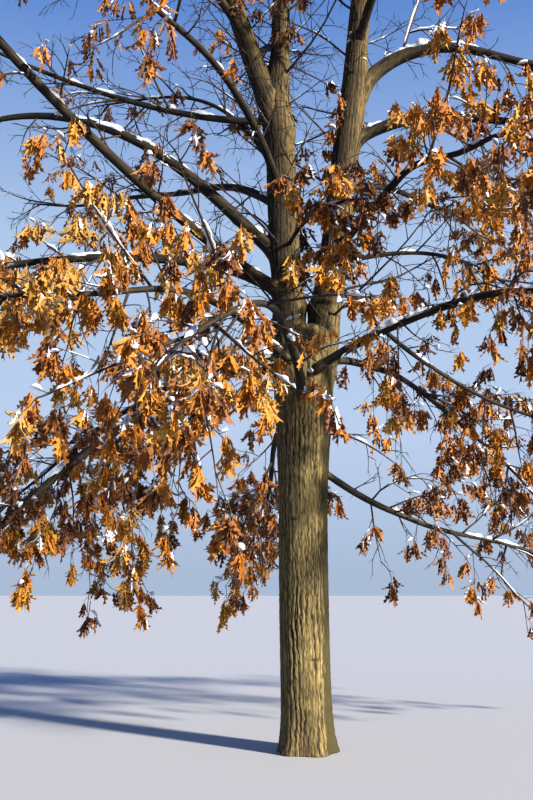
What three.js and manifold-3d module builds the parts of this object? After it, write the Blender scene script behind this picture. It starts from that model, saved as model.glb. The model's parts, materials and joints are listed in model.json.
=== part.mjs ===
// A forked oak in winter, rooted in the ground, holding its withered brown leaves.
// Millimetres and degrees. +Z is up, +X is the right of the front view and +Y points away from it.
// The origin is the middle of the flat cut under the trunk, at ground level.
// An azimuth of 0 points along +X and 90 along +Y, and a rise is an angle above the horizon.
import * as THREE from "three";
import { mergeVertices } from "three/addons/utils/BufferGeometryUtils.js";
import Module from "manifold-3d";

const wasm = await Module();
wasm.setup();

// Driving dimensions of the trunk
const FORK_HEIGHT = 3800; // where the trunk ends and its two leaders stand on it
const TRUNK_RADIUS = 224; // at breast height
const FLARE = 46; // how far the root flare stands out at the ground
const FLARE_HEIGHT = 170; // height in which the flare falls to about a third
const ROOT_RIDGES = 5; // ridges that run down into the roots
const RIDGE_HEIGHT = 26; // how far a ridge stands out at the ground
const FORK_WIDENING = 58; // extra half width across the fork, where two leaders merge
const FORK_NARROWING = 38; // and what the half depth loses there
const TRUNK_BEND = 22; // the trunk bows this far to the left at mid height
const TRUNK_SIDES = 16;
const TRUNK_STEPS = 11;

// Rules for every limb
const GAP = 0.3; // clear space between two neighbours that touch
const COLLAR = 0.4; // a limb is this much thicker where it leaves its parent
const COLLAR_LENGTH = 1.6; // in base radii
const TAPER = 0.85; // power of the fall from base to tip radius
const LEADER_SIDES = 8;
const BOUGH_SIDES = 6;
const AXIS_STEPS = 12;
const LEADER_RINGS = [0, 0.07, 0.2, 0.4, 0.6, 0.8, 1];
const BOUGH_RINGS = [0, 0.08, 0.25, 0.5, 0.75, 1];
const LIMB_SWAY = 4; // how far a limb wanders from its heading, in degrees

// Rules for the foliage
const STEM_SIDES = 4;
const STEM_RINGS = [0, 0.25, 0.5, 0.75, 1];
const STEM_TIP = 8; // radius
const STEM_SWAY = 9;
const SHOOT_SPACING = 450; // between side branches on the leafy part of a stem
const SHOOT_RINGS = [0, 0.5, 1];
const SHOOT_LENGTH = 0.56; // of the stem's length, for the lowest
const SHOOT_SHORTENING = 0.55; // lost towards the tip
const SHOOT_ANGLE = 54; // from the stem, for the lowest
const SHOOT_CLOSING = 20; // lost towards the tip
const SHOOT_RADIUS = 14; // at its root, or less where the stem is thinner
const SHOOT_TAPER = 0.6;
const GOLDEN_ANGLE = 137.5;
const FLATTENING = 0.62; // side branches spread more sideways than up and down
const SPRAYS = 3; // leaf sprays on a leafy branch, one of them near its tip
const SPRAY_LENGTH = 600;
const SPRAY_WIDTH = 0.5; // of its length
const SPRAY_THICKNESS = 0.05; // of its length
const SPRAY_WIDEST = 0.56; // share of the length where a spray is widest
const SPRAY_SINK = 0.6; // depth of its root past the branch's axis, in branch radii
const SPRAY_ANGLE = 48;
const SPRAY_SAG = 0.75; // how far its weight turns a spray down
const SPRAY_MARGIN = 40; // room round the places where a spray is tested
const CLEARANCE = 25; // between a mass and its neighbours or a limb
const CROWN_FLOOR = 900; // nothing hangs lower

// The two leaders stand on the trunk, and the upper ones stand on them.
const LEADERS = [
  { name: "leader_left", from: "trunk", root: [-112, 0, 3500], azimuth: [180, 184],
    rise: [88, 86], bend: 1, length: 2650, radius: [152, 142] },
  { name: "leader_left_outer", from: "leader_left", at: 0.9, azimuth: [180, 212],
    rise: [70, 77], bend: 1.6, length: 3500, radius: [112, 58] },
  { name: "leader_left_inner", from: "leader_left", at: 0.92, azimuth: [80, 62],
    rise: [88, 80], bend: 1, length: 3700, radius: [104, 56] },
  { name: "leader_right", from: "trunk", root: [108, 0, 3500], azimuth: [0, 0],
    rise: [81, 83], bend: 1, length: 2900, radius: [152, 122] },
  { name: "leader_right_upper", from: "leader_right", at: 0.93, azimuth: [0, -50],
    rise: [84, 78], bend: 1, length: 3500, radius: [118, 60] },
];

// Boughs. at is the share of the parent's length where one leaves it, and bend the power of the
// share along a bough that carries its rise from the first figure to the second. root is used
// where a bough leaves the trunk off its axis.
const BOUGHS = [
  { name: "bough_right_low", from: "trunk", root: [-60, -100, 3300], azimuth: [330, 326],
    rise: [44, 6], bend: 0.48, length: 1880, radius: [44, 33] },
  { name: "bough_front", from: "trunk", at: 0.87, azimuth: [264, 258],
    rise: [30, 4], bend: 0.8, length: 1800, radius: [46, 30] },
  { name: "bough_front_left", from: "trunk", at: 0.93, azimuth: [236, 232],
    rise: [28, 6], bend: 0.8, length: 1600, radius: [44, 29] },
  { name: "bough_left_droop", from: "trunk", at: 0.96, azimuth: [195, 205],
    rise: [4, -46], bend: 0.45, length: 3200, radius: [46, 30] },
  { name: "bough_back_left", from: "trunk", at: 0.91, azimuth: [152, 140],
    rise: [34, -16], bend: 0.8, length: 1700, radius: [46, 30] },
  { name: "bough_back", from: "trunk", at: 0.82, azimuth: [104, 96],
    rise: [30, -16], bend: 0.8, length: 1600, radius: [46, 30] },
  { name: "bough_back_right", from: "trunk", at: 0.93, azimuth: [50, 42],
    rise: [34, -16], bend: 0.8, length: 1600, radius: [45, 29] },
  { name: "bough_right_drop", from: "trunk", at: 0.78, azimuth: [25, 30],
    rise: [-28, -19], bend: 1, length: 1370, radius: [36, 25] },
  { name: "bough_left_cross", from: "leader_left", at: 0.27, azimuth: [215, 228],
    rise: [15, 33], bend: 0.78, length: 3400, radius: [50, 36] },
  { name: "bough_left_low", from: "leader_left", at: 0.26, azimuth: [206, 196],
    rise: [20, 0], bend: 1, length: 1300, radius: [60, 42] },
  { name: "bough_left_high", from: "leader_left", at: 0.385, azimuth: [180, 190],
    rise: [43, -16], bend: 2.44, length: 3250, radius: [68, 26] },
  { name: "bough_right_hook", from: "leader_right", at: 0.31, azimuth: [15, 25],
    rise: [-52, -26], bend: 0.7, length: 1500, radius: [27, 20] },
  { name: "bough_front_right", from: "leader_right", at: 0.38, azimuth: [302, 290],
    rise: [34, 4], bend: 0.8, length: 1300, radius: [46, 30] },
  { name: "bough_right_mid", from: "leader_right", at: 0.766, azimuth: [-2, -12],
    rise: [55, -13], bend: 0.45, length: 1550, radius: [64, 36] },
  { name: "bough_front_upper", from: "leader_left", at: 0.62, azimuth: [250, 240],
    rise: [46, 12], bend: 0.8, length: 1700, radius: [44, 28] },
  { name: "bough_back_upper", from: "leader_left", at: 0.58, azimuth: [122, 134],
    rise: [46, 8], bend: 0.8, length: 1700, radius: [50, 31] },
  { name: "bough_right_back_upper", from: "leader_right", at: 0.56, azimuth: [66, 52],
    rise: [46, 6], bend: 0.8, length: 1600, radius: [50, 30] },
  { name: "bough_arch_right", from: "leader_right", at: 0.89, azimuth: [0, -8],
    rise: [86, -28], bend: 0.82, length: 1750, radius: [90, 38] },
];

// Masses of foliage. One at the tip of a limb carries on from it: turn is the change in azimuth
// along its stem and tip the stem's last rise. The others leave a leader's side and are bare up
// to the share given as bare. leafy is the share of a mass's side branches that hold leaves.
const MASSES = [
  { name: "foliage_right_low", from: "bough_right_low", length: 2600, turn: -16, tip: -22, leafy: 1 },
  { name: "foliage_front", from: "bough_front", length: 2900, turn: -8, tip: -40, leafy: 1 },
  { name: "foliage_front_left", from: "bough_front_left", length: 2800, turn: 10, tip: -34, leafy: 1 },
  { name: "foliage_left_droop", from: "bough_left_droop", length: 2200, turn: 10, tip: -8, leafy: 1 },
  { name: "foliage_back_left", from: "bough_back_left", length: 3300, turn: 8, tip: -32, leafy: 1 },
  { name: "foliage_back", from: "bough_back", length: 3300, turn: 6, tip: -30, leafy: 1 },
  { name: "foliage_back_right", from: "bough_back_right", length: 3300, turn: 4, tip: -32, leafy: 1 },
  { name: "foliage_right_drop", from: "bough_right_drop", length: 2900, turn: -12, tip: -14, leafy: 1 },
  { name: "foliage_left_cross", from: "bough_left_cross", length: 2400, turn: 6, tip: 26, leafy: 0.8 },
  { name: "foliage_left_low", from: "bough_left_low", length: 3400, turn: -6, tip: -26, leafy: 1 },
  { name: "foliage_left_high", from: "bough_left_high", length: 2300, turn: 8, tip: 20, leafy: 0.7 },
  { name: "foliage_right_hook", from: "bough_right_hook", length: 2600, turn: -38, tip: -2, leafy: 1 },
  { name: "foliage_front_right", from: "bough_front_right", length: 2700, turn: -4, tip: -38, leafy: 1 },
  { name: "foliage_right_mid", from: "bough_right_mid", length: 3300, turn: 2, tip: -12, leafy: 1 },
  { name: "foliage_front_upper", from: "bough_front_upper", length: 2800, turn: -6, tip: 14, leafy: 0.8 },
  { name: "foliage_back_upper", from: "bough_back_upper", length: 3200, turn: 8, tip: 14, leafy: 0.7 },
  { name: "foliage_right_back_upper", from: "bough_right_back_upper", length: 3200, turn: -12, tip: 18,
    leafy: 0.7 },
  { name: "foliage_arch_right", from: "bough_arch_right", length: 3200, turn: -6, tip: 30, leafy: 0.9 },
  { name: "foliage_top_left", from: "leader_left_outer", length: 3900, turn: 20, tip: 62, leafy: 0.4 },
  { name: "foliage_top_middle", from: "leader_left_inner", length: 4200, turn: -20, tip: 82, leafy: 0.4 },
  { name: "foliage_top_right", from: "leader_right_upper", length: 3800, turn: 10, tip: 62, leafy: 0.4 },
  { name: "foliage_inner_front", from: "leader_left", at: 0.42, azimuth: [286, 306],
    rise: [24, -20], length: 1700, radius: 20, bare: 0.25, leafy: 1 },
  { name: "foliage_right_small", from: "leader_right", at: 0.345, azimuth: [5, 24],
    rise: [22, -36], length: 2500, radius: 25, bare: 0.36, leafy: 0.8 },
  { name: "foliage_left_thin", from: "leader_left", at: 0.668, azimuth: [174, 158],
    rise: [72, -6], length: 2600, radius: 26, bare: 0.4, leafy: 0.6 },
  { name: "foliage_left_top", from: "leader_left_outer", at: 0.03, azimuth: [190, 196],
    rise: [-8, 28], length: 3600, radius: 38, bare: 0.26, leafy: 0.5 },
  { name: "foliage_crown_front", from: "leader_right_upper", at: 0.17, azimuth: [284, 292],
    rise: [38, 6], length: 4300, radius: 46, bare: 0.34, leafy: 0.5 },
  { name: "foliage_crown_back", from: "leader_left_inner", at: 0.22, azimuth: [96, 86],
    rise: [38, 6], length: 4300, radius: 46, bare: 0.34, leafy: 0.4 },
  { name: "foliage_crown_front_left", from: "leader_left_outer", at: 0.28, azimuth: [238, 226],
    rise: [34, 4], length: 4200, radius: 44, bare: 0.34, leafy: 0.5 },
  { name: "foliage_crown_back_left", from: "leader_left_inner", at: 0.42, azimuth: [146, 134],
    rise: [40, 8], length: 4200, radius: 42, bare: 0.34, leafy: 0.3 },
  { name: "foliage_crown_back_right", from: "leader_left_inner", at: 0.55, azimuth: [34, 44],
    rise: [44, 16], length: 4000, radius: 40, bare: 0.34, leafy: 0.3 },
  { name: "foliage_crown_right", from: "leader_right_upper", at: 0.55, azimuth: [4, 12],
    rise: [38, 10], length: 3900, radius: 40, bare: 0.32, leafy: 0.4 },
  { name: "foliage_crown_left", from: "leader_left_outer", at: 0.68, azimuth: [186, 178],
    rise: [38, 12], length: 3600, radius: 38, bare: 0.32, leafy: 0.4 },
];

// Snow that lies along the top of a bough, between two shares of its length.
const SNOW = [
  { name: "snow_arch_right", on: "bough_arch_right", span: [0.3, 0.97] },
  { name: "snow_right_low", on: "bough_right_low", span: [0.25, 0.97] },
  { name: "snow_left_high", on: "bough_left_high", span: [0.3, 0.97] },
];
const SNOW_HALF_WIDTH = 0.72; // of the bough's radius
const SNOW_HEIGHT = 1.35; // top of the snow over the bough's axis, in radii of the bough
const SNOW_DEPTH = 0.25; // underside of the uncut snow over the axis, in radii
const SNOW_SIDES = 6;
const SNOW_STEPS = 6;

const BARK_COLOUR = 0x6f6446;
const BOUGH_COLOUR = 0x584d3c;
const LEAF_COLOURS = [0xbf6a2a, 0xa4521f, 0xc98437, 0x7d3d1c]; // orange, rust, golden, brown
const SNOW_COLOUR = 0xf2f5fa;

const UP = new THREE.Vector3(0, 0, 1);
const { degToRad } = THREE.MathUtils;

// A repeatable number from 0 to 1 for each branch, so that no draw depends on another.
function mix(key, index) {
  let h = (Math.imul(key + 1, 0x9e3779b1) ^ Math.imul(index + 1, 0x85ebca6b)) >>> 0;
  h = Math.imul(h ^ (h >>> 15), 0x2c1b3c6d) >>> 0;
  h = Math.imul(h ^ (h >>> 12), 0x297a2d39) >>> 0;
  return (h ^ (h >>> 15)) >>> 0;
}

function chance(key, index) {
  return mix(key, index) / 4294967296;
}

function between(key, index, low, high) {
  return low + (high - low) * chance(key, index);
}

function heading(azimuth, rise) {
  const a = degToRad(azimuth);
  const e = degToRad(rise);
  return new THREE.Vector3(Math.cos(e) * Math.cos(a), Math.cos(e) * Math.sin(a), Math.sin(e));
}

// A centre line that leaves its root on one heading and turns to another, wandering a little.
function growAxis(limb, sway, key) {
  const [a0, a1] = limb.azimuth;
  const [e0, e1] = limb.rise;
  const waves = between(key, 101, 0.8, 1.5);
  const swayAcross = sway * between(key, 102, -1, 1);
  const swayUp = sway * between(key, 103, -1, 1);
  const headingAt = (share) => {
    const swing = Math.sin(2 * Math.PI * waves * share);
    return heading(a0 + (a1 - a0) * share + swayAcross * swing,
      e0 + (e1 - e0) * share ** (limb.bend ?? 1) + swayUp * swing);
  };
  const point = new THREE.Vector3(...limb.root);
  const axis = [{ point: point.clone(), tangent: headingAt(0), share: 0 }];
  for (let i = 0; i < AXIS_STEPS; i++) {
    point.addScaledVector(headingAt((i + 0.5) / AXIS_STEPS), limb.length / AXIS_STEPS);
    const share = (i + 1) / AXIS_STEPS;
    axis.push({ point: point.clone(), tangent: headingAt(share), share });
  }
  return axis;
}

function pointOn(axis, share) {
  const place = share * (axis.length - 1);
  const i = Math.min(Math.floor(place), axis.length - 2);
  return axis[i].point.clone().lerp(axis[i + 1].point, place - i);
}

function tangentOn(axis, share) {
  const place = share * (axis.length - 1);
  const i = Math.min(Math.floor(place), axis.length - 2);
  return axis[i].tangent.clone().lerp(axis[i + 1].tangent, place - i).normalize();
}

function ringsOf(axis, shares) {
  return shares.map((share) => ({ point: pointOn(axis, share), tangent: tangentOn(axis, share), share }));
}

function taperedRadius(limb, share) {
  const [base, tip] = limb.radius;
  const collar = COLLAR * base * Math.exp(-(share * limb.length) / (COLLAR_LENGTH * base));
  return tip + (base - tip) * (1 - share) ** TAPER + collar;
}

// Across a tangent: a first direction that stays level with the ring before it.
function carryAcross(across, tangent) {
  return across.clone().addScaledVector(tangent, -across.dot(tangent)).normalize();
}

function solidFrom(geometry) {
  const bare = geometry.clone();
  bare.deleteAttribute("normal");
  bare.deleteAttribute("uv");
  const merged = mergeVertices(bare, 1e-3);
  return new wasm.Manifold(new wasm.Mesh({
    numProp: 3,
    vertProperties: new Float32Array(merged.attributes.position.array),
    triVerts: new Uint32Array(merged.index.array),
  }));
}

function geometryFrom(solid) {
  const mesh = solid.getMesh();
  const positions = new Float32Array(mesh.numVert * 3);
  for (let i = 0; i < mesh.numVert; i++) {
    positions.set(mesh.vertProperties.subarray(i * mesh.numProp, i * mesh.numProp + 3), i * 3);
  }
  const geometry = new THREE.BufferGeometry();
  geometry.setAttribute("position", new THREE.BufferAttribute(positions, 3));
  geometry.setIndex(new THREE.BufferAttribute(new Uint32Array(mesh.triVerts), 1));
  geometry.computeVertexNormals();
  return geometry;
}

// A capped cylinder, or a cone if pointed, with each of its rings moved to its place. outline
// gives a corner of a ring from the ring's number and the angle round it, in the ring's own plane.
function wrapCylinder(rings, sides, outline, pointed = false) {
  const steps = rings.length - 1;
  const geometry = new THREE.CylinderGeometry(pointed ? 0 : 1, 1, 1, sides, steps);
  const frames = [];
  let across = rings[0].tangent.clone().cross(UP);
  if (across.lengthSq() < 1e-4) across = new THREE.Vector3(1, 0, 0);
  for (const { tangent } of rings) {
    across = carryAcross(across, tangent);
    frames.push([across, across.clone().cross(tangent)]);
  }
  const position = geometry.attributes.position;
  const v = new THREE.Vector3();
  for (let i = 0; i < position.count; i++) {
    v.fromBufferAttribute(position, i);
    const ring = Math.round((v.y + 0.5) * steps);
    const onAxis = Math.hypot(v.x, v.z) < 1e-6;
    const [x, y] = onAxis ? [0, 0] : outline(ring, Math.atan2(v.z, v.x));
    const place = rings[ring].point.clone();
    place.addScaledVector(frames[ring][0], x).addScaledVector(frames[ring][1], y);
    position.setXYZ(i, place.x, place.y, place.z);
  }
  return geometry;
}

// A round limb, grown all over by the gap that its neighbours keep.
function limbSolid(rings, sides, radiusAt, { grow = 0, pointed = false } = {}) {
  const ends = rings.map((ring) => ({ ...ring, point: ring.point.clone() }));
  ends[0].point.addScaledVector(ends[0].tangent, -grow);
  ends.at(-1).point.addScaledVector(ends.at(-1).tangent, grow);
  return solidFrom(wrapCylinder(ends, sides, (ring, angle) => {
    const r = radiusAt(rings[ring].share) + grow / Math.cos(Math.PI / sides);
    return [r * Math.cos(angle), r * Math.sin(angle)];
  }, pointed));
}

function largest(solid) {
  return solid.decompose().reduce((a, b) => (b.volume() > a.volume() ? b : a));
}

// The trunk has level rings, closer together in the root flare.
function trunkRings() {
  return Array.from({ length: TRUNK_STEPS + 1 }, (_, i) => {
    const share = (i / TRUNK_STEPS) ** 1.5;
    const bow = -TRUNK_BEND * Math.sin(Math.PI * share);
    return { point: new THREE.Vector3(bow, 0, share * FORK_HEIGHT), tangent: UP.clone(), share };
  });
}

function trunkOutline(height, angle) {
  const nearFork = THREE.MathUtils.smoothstep(height, 0.55 * FORK_HEIGHT, 0.93 * FORK_HEIGHT);
  const ridge = RIDGE_HEIGHT * Math.cos(ROOT_RIDGES * angle + 0.6) *
    Math.exp(-height / (2 * FLARE_HEIGHT));
  const r = TRUNK_RADIUS + FLARE * Math.exp(-height / FLARE_HEIGHT) + ridge;
  return [(r + FORK_WIDENING * nearFork) * Math.cos(angle),
    (r - FORK_NARROWING * nearFork) * Math.sin(angle)];
}

function trunkRadius(share) {
  return Math.hypot(...trunkOutline(share * FORK_HEIGHT, 0));
}

function trunkSolid(rings, grow = 0) {
  const ends = rings.map((ring) => ({ ...ring, point: ring.point.clone() }));
  ends.at(-1).point.z += grow;
  const scale = 1 + grow / (TRUNK_RADIUS - FORK_NARROWING) / Math.cos(Math.PI / TRUNK_SIDES);
  return solidFrom(wrapCylinder(ends, TRUNK_SIDES, (ring, angle) => {
    const [x, y] = trunkOutline(rings[ring].share * FORK_HEIGHT, angle);
    return [x * scale, y * scale];
  }));
}

const tree = new THREE.Group();
const limbs = new Map(); // name to { limb, axis, radiusAt, solid, grown }

function addMesh(name, solid, colour, roughness) {
  const material = new THREE.MeshStandardMaterial({ color: colour, roughness, metalness: 0 });
  const mesh = new THREE.Mesh(geometryFrom(solid), material);
  mesh.name = name;
  tree.add(mesh);
}

function addTrunk() {
  const axis = trunkRings();
  limbs.set("trunk", { axis, radiusAt: trunkRadius, grown: trunkSolid(axis, GAP) });
  addMesh("trunk", trunkSolid(axis), BARK_COLOUR, 0.95);
}

// A limb is cut clear of its parent and of any other limb that it meets.
function addLimb(limb, { sides, shares, colour, key }) {
  const parent = limbs.get(limb.from);
  const root = limb.root ?? pointOn(parent.axis, limb.at).toArray();
  const axis = growAxis({ ...limb, root }, LIMB_SWAY, key);
  const radiusAt = (share) => taperedRadius(limb, share);
  const rings = ringsOf(axis, shares);
  let solid = limbSolid(rings, sides, radiusAt);
  for (const other of limbs.values()) {
    if (solid.intersect(other.grown).volume() > 0) solid = solid.subtract(other.grown);
  }
  limbs.set(limb.name, { axis, radiusAt, grown: limbSolid(rings, sides, radiusAt, { grow: GAP }) });
  addMesh(limb.name, largest(solid), colour, 0.95);
}

// The stem of a mass carries on from its bough's tip, or leaves a leader's side.
function stemOf(mass) {
  const parent = limbs.get(mass.from);
  if (mass.at !== undefined) {
    return { root: pointOn(parent.axis, mass.at), azimuth: mass.azimuth, rise: mass.rise, bend: 0.8,
      length: mass.length, radius: [mass.radius, STEM_TIP] };
  }
  const end = parent.axis.at(-1);
  const azimuth = THREE.MathUtils.radToDeg(Math.atan2(end.tangent.y, end.tangent.x));
  const rise = THREE.MathUtils.radToDeg(Math.asin(end.tangent.z));
  return { root: end.point.clone().addScaledVector(end.tangent, GAP),
    azimuth: [azimuth, azimuth + mass.turn], rise: [rise, mass.tip], bend: 0.8,
    length: mass.length, radius: [parent.radiusAt(1), STEM_TIP] };
}

const stems = MASSES.map((mass, number) => ({ mass, key: 1000 + number }));

// How far a point lies from a centre line, and the share of its length that is nearest.
function distanceTo(axis, point) {
  const segment = new THREE.Line3();
  const near = new THREE.Vector3();
  let best = { distance: Infinity, share: 0 };
  for (let i = 0; i + 1 < axis.length; i++) {
    segment.set(axis[i].point, axis[i + 1].point);
    const t = segment.closestPointToPointParameter(point, true);
    const distance = segment.at(t, near).distanceTo(point);
    if (distance < best.distance) {
      best = { distance, share: axis[i].share + t * (axis[i + 1].share - axis[i].share) };
    }
  }
  return best;
}

// A point is in a mass's space if it is nearer to that mass's stem than to any other stem,
// clear of every limb, and above the floor of the crown.
function inSpace(stem, point, size) {
  if (point.z - size < CROWN_FLOOR) return false;
  const own = distanceTo(stem.axis, point).distance;
  for (const other of stems) {
    if (other === stem) continue;
    if (distanceTo(other.axis, point).distance < own + CLEARANCE + 2 * size) return false;
  }
  for (const { axis, radiusAt } of limbs.values()) {
    const { distance, share } = distanceTo(axis, point);
    if (distance < radiusAt(share) + CLEARANCE + size) return false;
  }
  return true;
}

// A branch's heading: its parent's, opened by an angle towards one side.
function sideHeading(tangent, roll, angle) {
  const level = tangent.clone().cross(UP).normalize();
  const upward = level.clone().cross(tangent);
  const side = level.multiplyScalar(Math.cos(degToRad(roll)));
  side.addScaledVector(upward, FLATTENING * Math.sin(degToRad(roll))).normalize();
  return tangent.clone().multiplyScalar(Math.cos(degToRad(angle)))
    .addScaledVector(side, Math.sin(degToRad(angle)));
}

function asAngles(direction) {
  return { azimuth: THREE.MathUtils.radToDeg(Math.atan2(direction.y, direction.x)),
    rise: THREE.MathUtils.radToDeg(Math.asin(THREE.MathUtils.clamp(direction.z, -1, 1))) };
}

// The side branches of a mass, each with its own key.
function shootsOf(stem) {
  const bare = stem.mass.bare ?? 0.08;
  const firstRoll = between(stem.key, 7, 0, 360);
  const count = Math.round((stem.limb.length * (1 - bare)) / SHOOT_SPACING);
  return Array.from({ length: count }, (_, i) => {
    const key = mix(stem.key, 10 + i);
    const along = (i + between(key, 1, 0.2, 0.8)) / count;
    const share = bare + (0.97 - bare) * along;
    const roll = firstRoll + i * GOLDEN_ANGLE + between(key, 2, -18, 18);
    const angle = SHOOT_ANGLE - SHOOT_CLOSING * along + between(key, 3, -8, 8);
    const { azimuth, rise } = asAngles(sideHeading(tangentOn(stem.axis, share), roll, angle));
    const length = stem.limb.length * (1 - bare) * SHOOT_LENGTH *
      (1 - SHOOT_SHORTENING * along) * between(key, 4, 0.8, 1.15);
    return { key, root: pointOn(stem.axis, share).toArray(), azimuth: [azimuth, azimuth],
      rise: [rise, rise + between(key, 5, -16, 10)], length,
      radius: Math.min(SHOOT_RADIUS, 0.85 * stem.radiusAt(share)) };
  });
}

// A spray hangs from its root, its blade lying between its heading and the side it is turned to.
function sprayOf(shoot, axis, radiusAt, j) {
  const key = mix(shoot.key, 30 + j);
  const share = (j + between(key, 1, 0.6, 0.85)) / SPRAYS;
  const out = sideHeading(tangentOn(axis, share), 180 * j + between(key, 2, -50, 50), SPRAY_ANGLE);
  const direction = out.addScaledVector(UP, -SPRAY_SAG * between(key, 3, 0.5, 1)).normalize();
  const facing = heading(between(key, 4, 0, 360), between(key, 5, 0, 40));
  const side = carryAcross(facing, direction);
  const root = pointOn(axis, share).addScaledVector(direction, -SPRAY_SINK * radiusAt(share));
  return { root, direction, side, length: SPRAY_LENGTH * between(key, 6, 0.8, 1.2) };
}

// A place on a spray from shares of its length, its half width and its half thickness.
function placeOn({ root, direction, side, length }, along, aside, through) {
  return root.clone().addScaledVector(direction, along * length)
    .addScaledVector(side, (aside * SPRAY_WIDTH * length) / 2)
    .addScaledVector(side.clone().cross(direction), (through * SPRAY_THICKNESS * length) / 2);
}

function sprayFits(stem, spray) {
  const tests = [[0.28, 0], [0.5, 0], [0.75, 0], [1, 0], [SPRAY_WIDEST, -1], [SPRAY_WIDEST, 1],
    [0.78, -0.5], [0.78, 0.5], [0.3, -0.5], [0.3, 0.5]];
  return tests.every(([along, aside]) => inSpace(stem, placeOn(spray, along, aside, 0), SPRAY_MARGIN));
}

// An octahedron drawn out into a leaf's form.
function spraySolid(spray) {
  const geometry = new THREE.OctahedronGeometry(1, 0);
  const position = geometry.attributes.position;
  for (let i = 0; i < position.count; i++) {
    const along = (position.getY(i) > 0.5) + SPRAY_WIDEST * (Math.abs(position.getY(i)) < 0.5);
    const place = placeOn(spray, along, position.getX(i), position.getZ(i));
    position.setXYZ(i, place.x, place.y, place.z);
  }
  return solidFrom(geometry);
}

// A side branch that would leave the space is shortened, and left out if a third won't fit.
function fittingAxis(stem, shoot) {
  for (let trim = 1; trim > 0.3; trim -= 0.16) {
    const axis = growAxis({ ...shoot, length: shoot.length * trim }, STEM_SWAY, shoot.key);
    if (axis.slice(2).every(({ point }) => inSpace(stem, point, SHOOT_RADIUS))) return axis;
  }
  return null;
}

// Every mass is one body: its stem, the branches that fit its space and their sprays.
function massSolid(stem) {
  let solid = limbSolid(ringsOf(stem.axis, STEM_RINGS), STEM_SIDES, stem.radiusAt);
  for (const { grown } of limbs.values()) {
    if (solid.intersect(grown).volume() > 0) solid = solid.subtract(grown);
  }
  solid = largest(solid);
  for (const shoot of shootsOf(stem)) {
    const axis = fittingAxis(stem, shoot);
    if (!axis) continue;
    const radiusAt = (share) => shoot.radius * (1 - share) ** SHOOT_TAPER;
    solid = solid.add(limbSolid(ringsOf(axis, SHOOT_RINGS), 3, radiusAt, { pointed: true }));
    if (chance(shoot.key, 6) >= stem.mass.leafy) continue;
    for (let j = 0; j < SPRAYS; j++) {
      const spray = sprayOf(shoot, axis, radiusAt, j);
      if (sprayFits(stem, spray)) solid = solid.add(spraySolid(spray));
    }
  }
  return largest(solid);
}

// A ridge of snow on a bough, cut clear of it.
function snowSolid({ on, span }) {
  const { axis, radiusAt, grown } = limbs.get(on);
  const line = Array.from({ length: SNOW_STEPS + 1 }, (_, i) => {
    const share = span[0] + ((span[1] - span[0]) * i) / SNOW_STEPS;
    const tangent = tangentOn(axis, share);
    const upward = carryAcross(UP, tangent);
    const lift = (radiusAt(share) * (SNOW_HEIGHT + SNOW_DEPTH)) / 2;
    return { point: pointOn(axis, share).addScaledVector(upward, lift), tangent, share };
  });
  return largest(solidFrom(wrapCylinder(line, SNOW_SIDES, (ring, angle) => {
    const r = radiusAt(line[ring].share);
    const closing = Math.sin((Math.PI * (ring + 0.6)) / (SNOW_STEPS + 1.2)) ** 0.35;
    return [SNOW_HALF_WIDTH * r * closing * Math.cos(angle),
      ((SNOW_HEIGHT - SNOW_DEPTH) / 2) * r * closing * Math.sin(angle)];
  })).subtract(grown));
}

addTrunk();
LEADERS.forEach((limb, i) => {
  addLimb(limb, { sides: LEADER_SIDES, shares: LEADER_RINGS, colour: BARK_COLOUR, key: 100 + i });
});
BOUGHS.forEach((limb, i) => {
  addLimb(limb, { sides: BOUGH_SIDES, shares: BOUGH_RINGS, colour: BOUGH_COLOUR, key: 200 + i });
});

// All stems are placed before any mass grows, because each mass keeps clear of the others.
for (const stem of stems) {
  const limb = stemOf(stem.mass);
  const [base, tip] = limb.radius;
  stem.limb = limb;
  stem.axis = growAxis({ ...limb, root: limb.root.toArray() }, STEM_SWAY, stem.key);
  stem.radiusAt = (share) => tip + (base - tip) * (1 - share) ** TAPER;
}
stems.forEach((stem, i) => {
  addMesh(stem.mass.name, massSolid(stem), LEAF_COLOURS[i % LEAF_COLOURS.length], 0.8);
});
SNOW.forEach((snow) => addMesh(snow.name, snowSolid(snow), SNOW_COLOUR, 0.6));

export default tree;
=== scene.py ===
"""A forked oak in winter that holds its withered leaves. Metres and degrees, in the frame of its CAD.

Trunk, leaders, boughs, stems and side branches repeat the tables and the rule of the part's source.
Finer twigs, leaves and snow are grown on from them here by a seeded rule of the same kind.
"""
import json
import math

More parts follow.
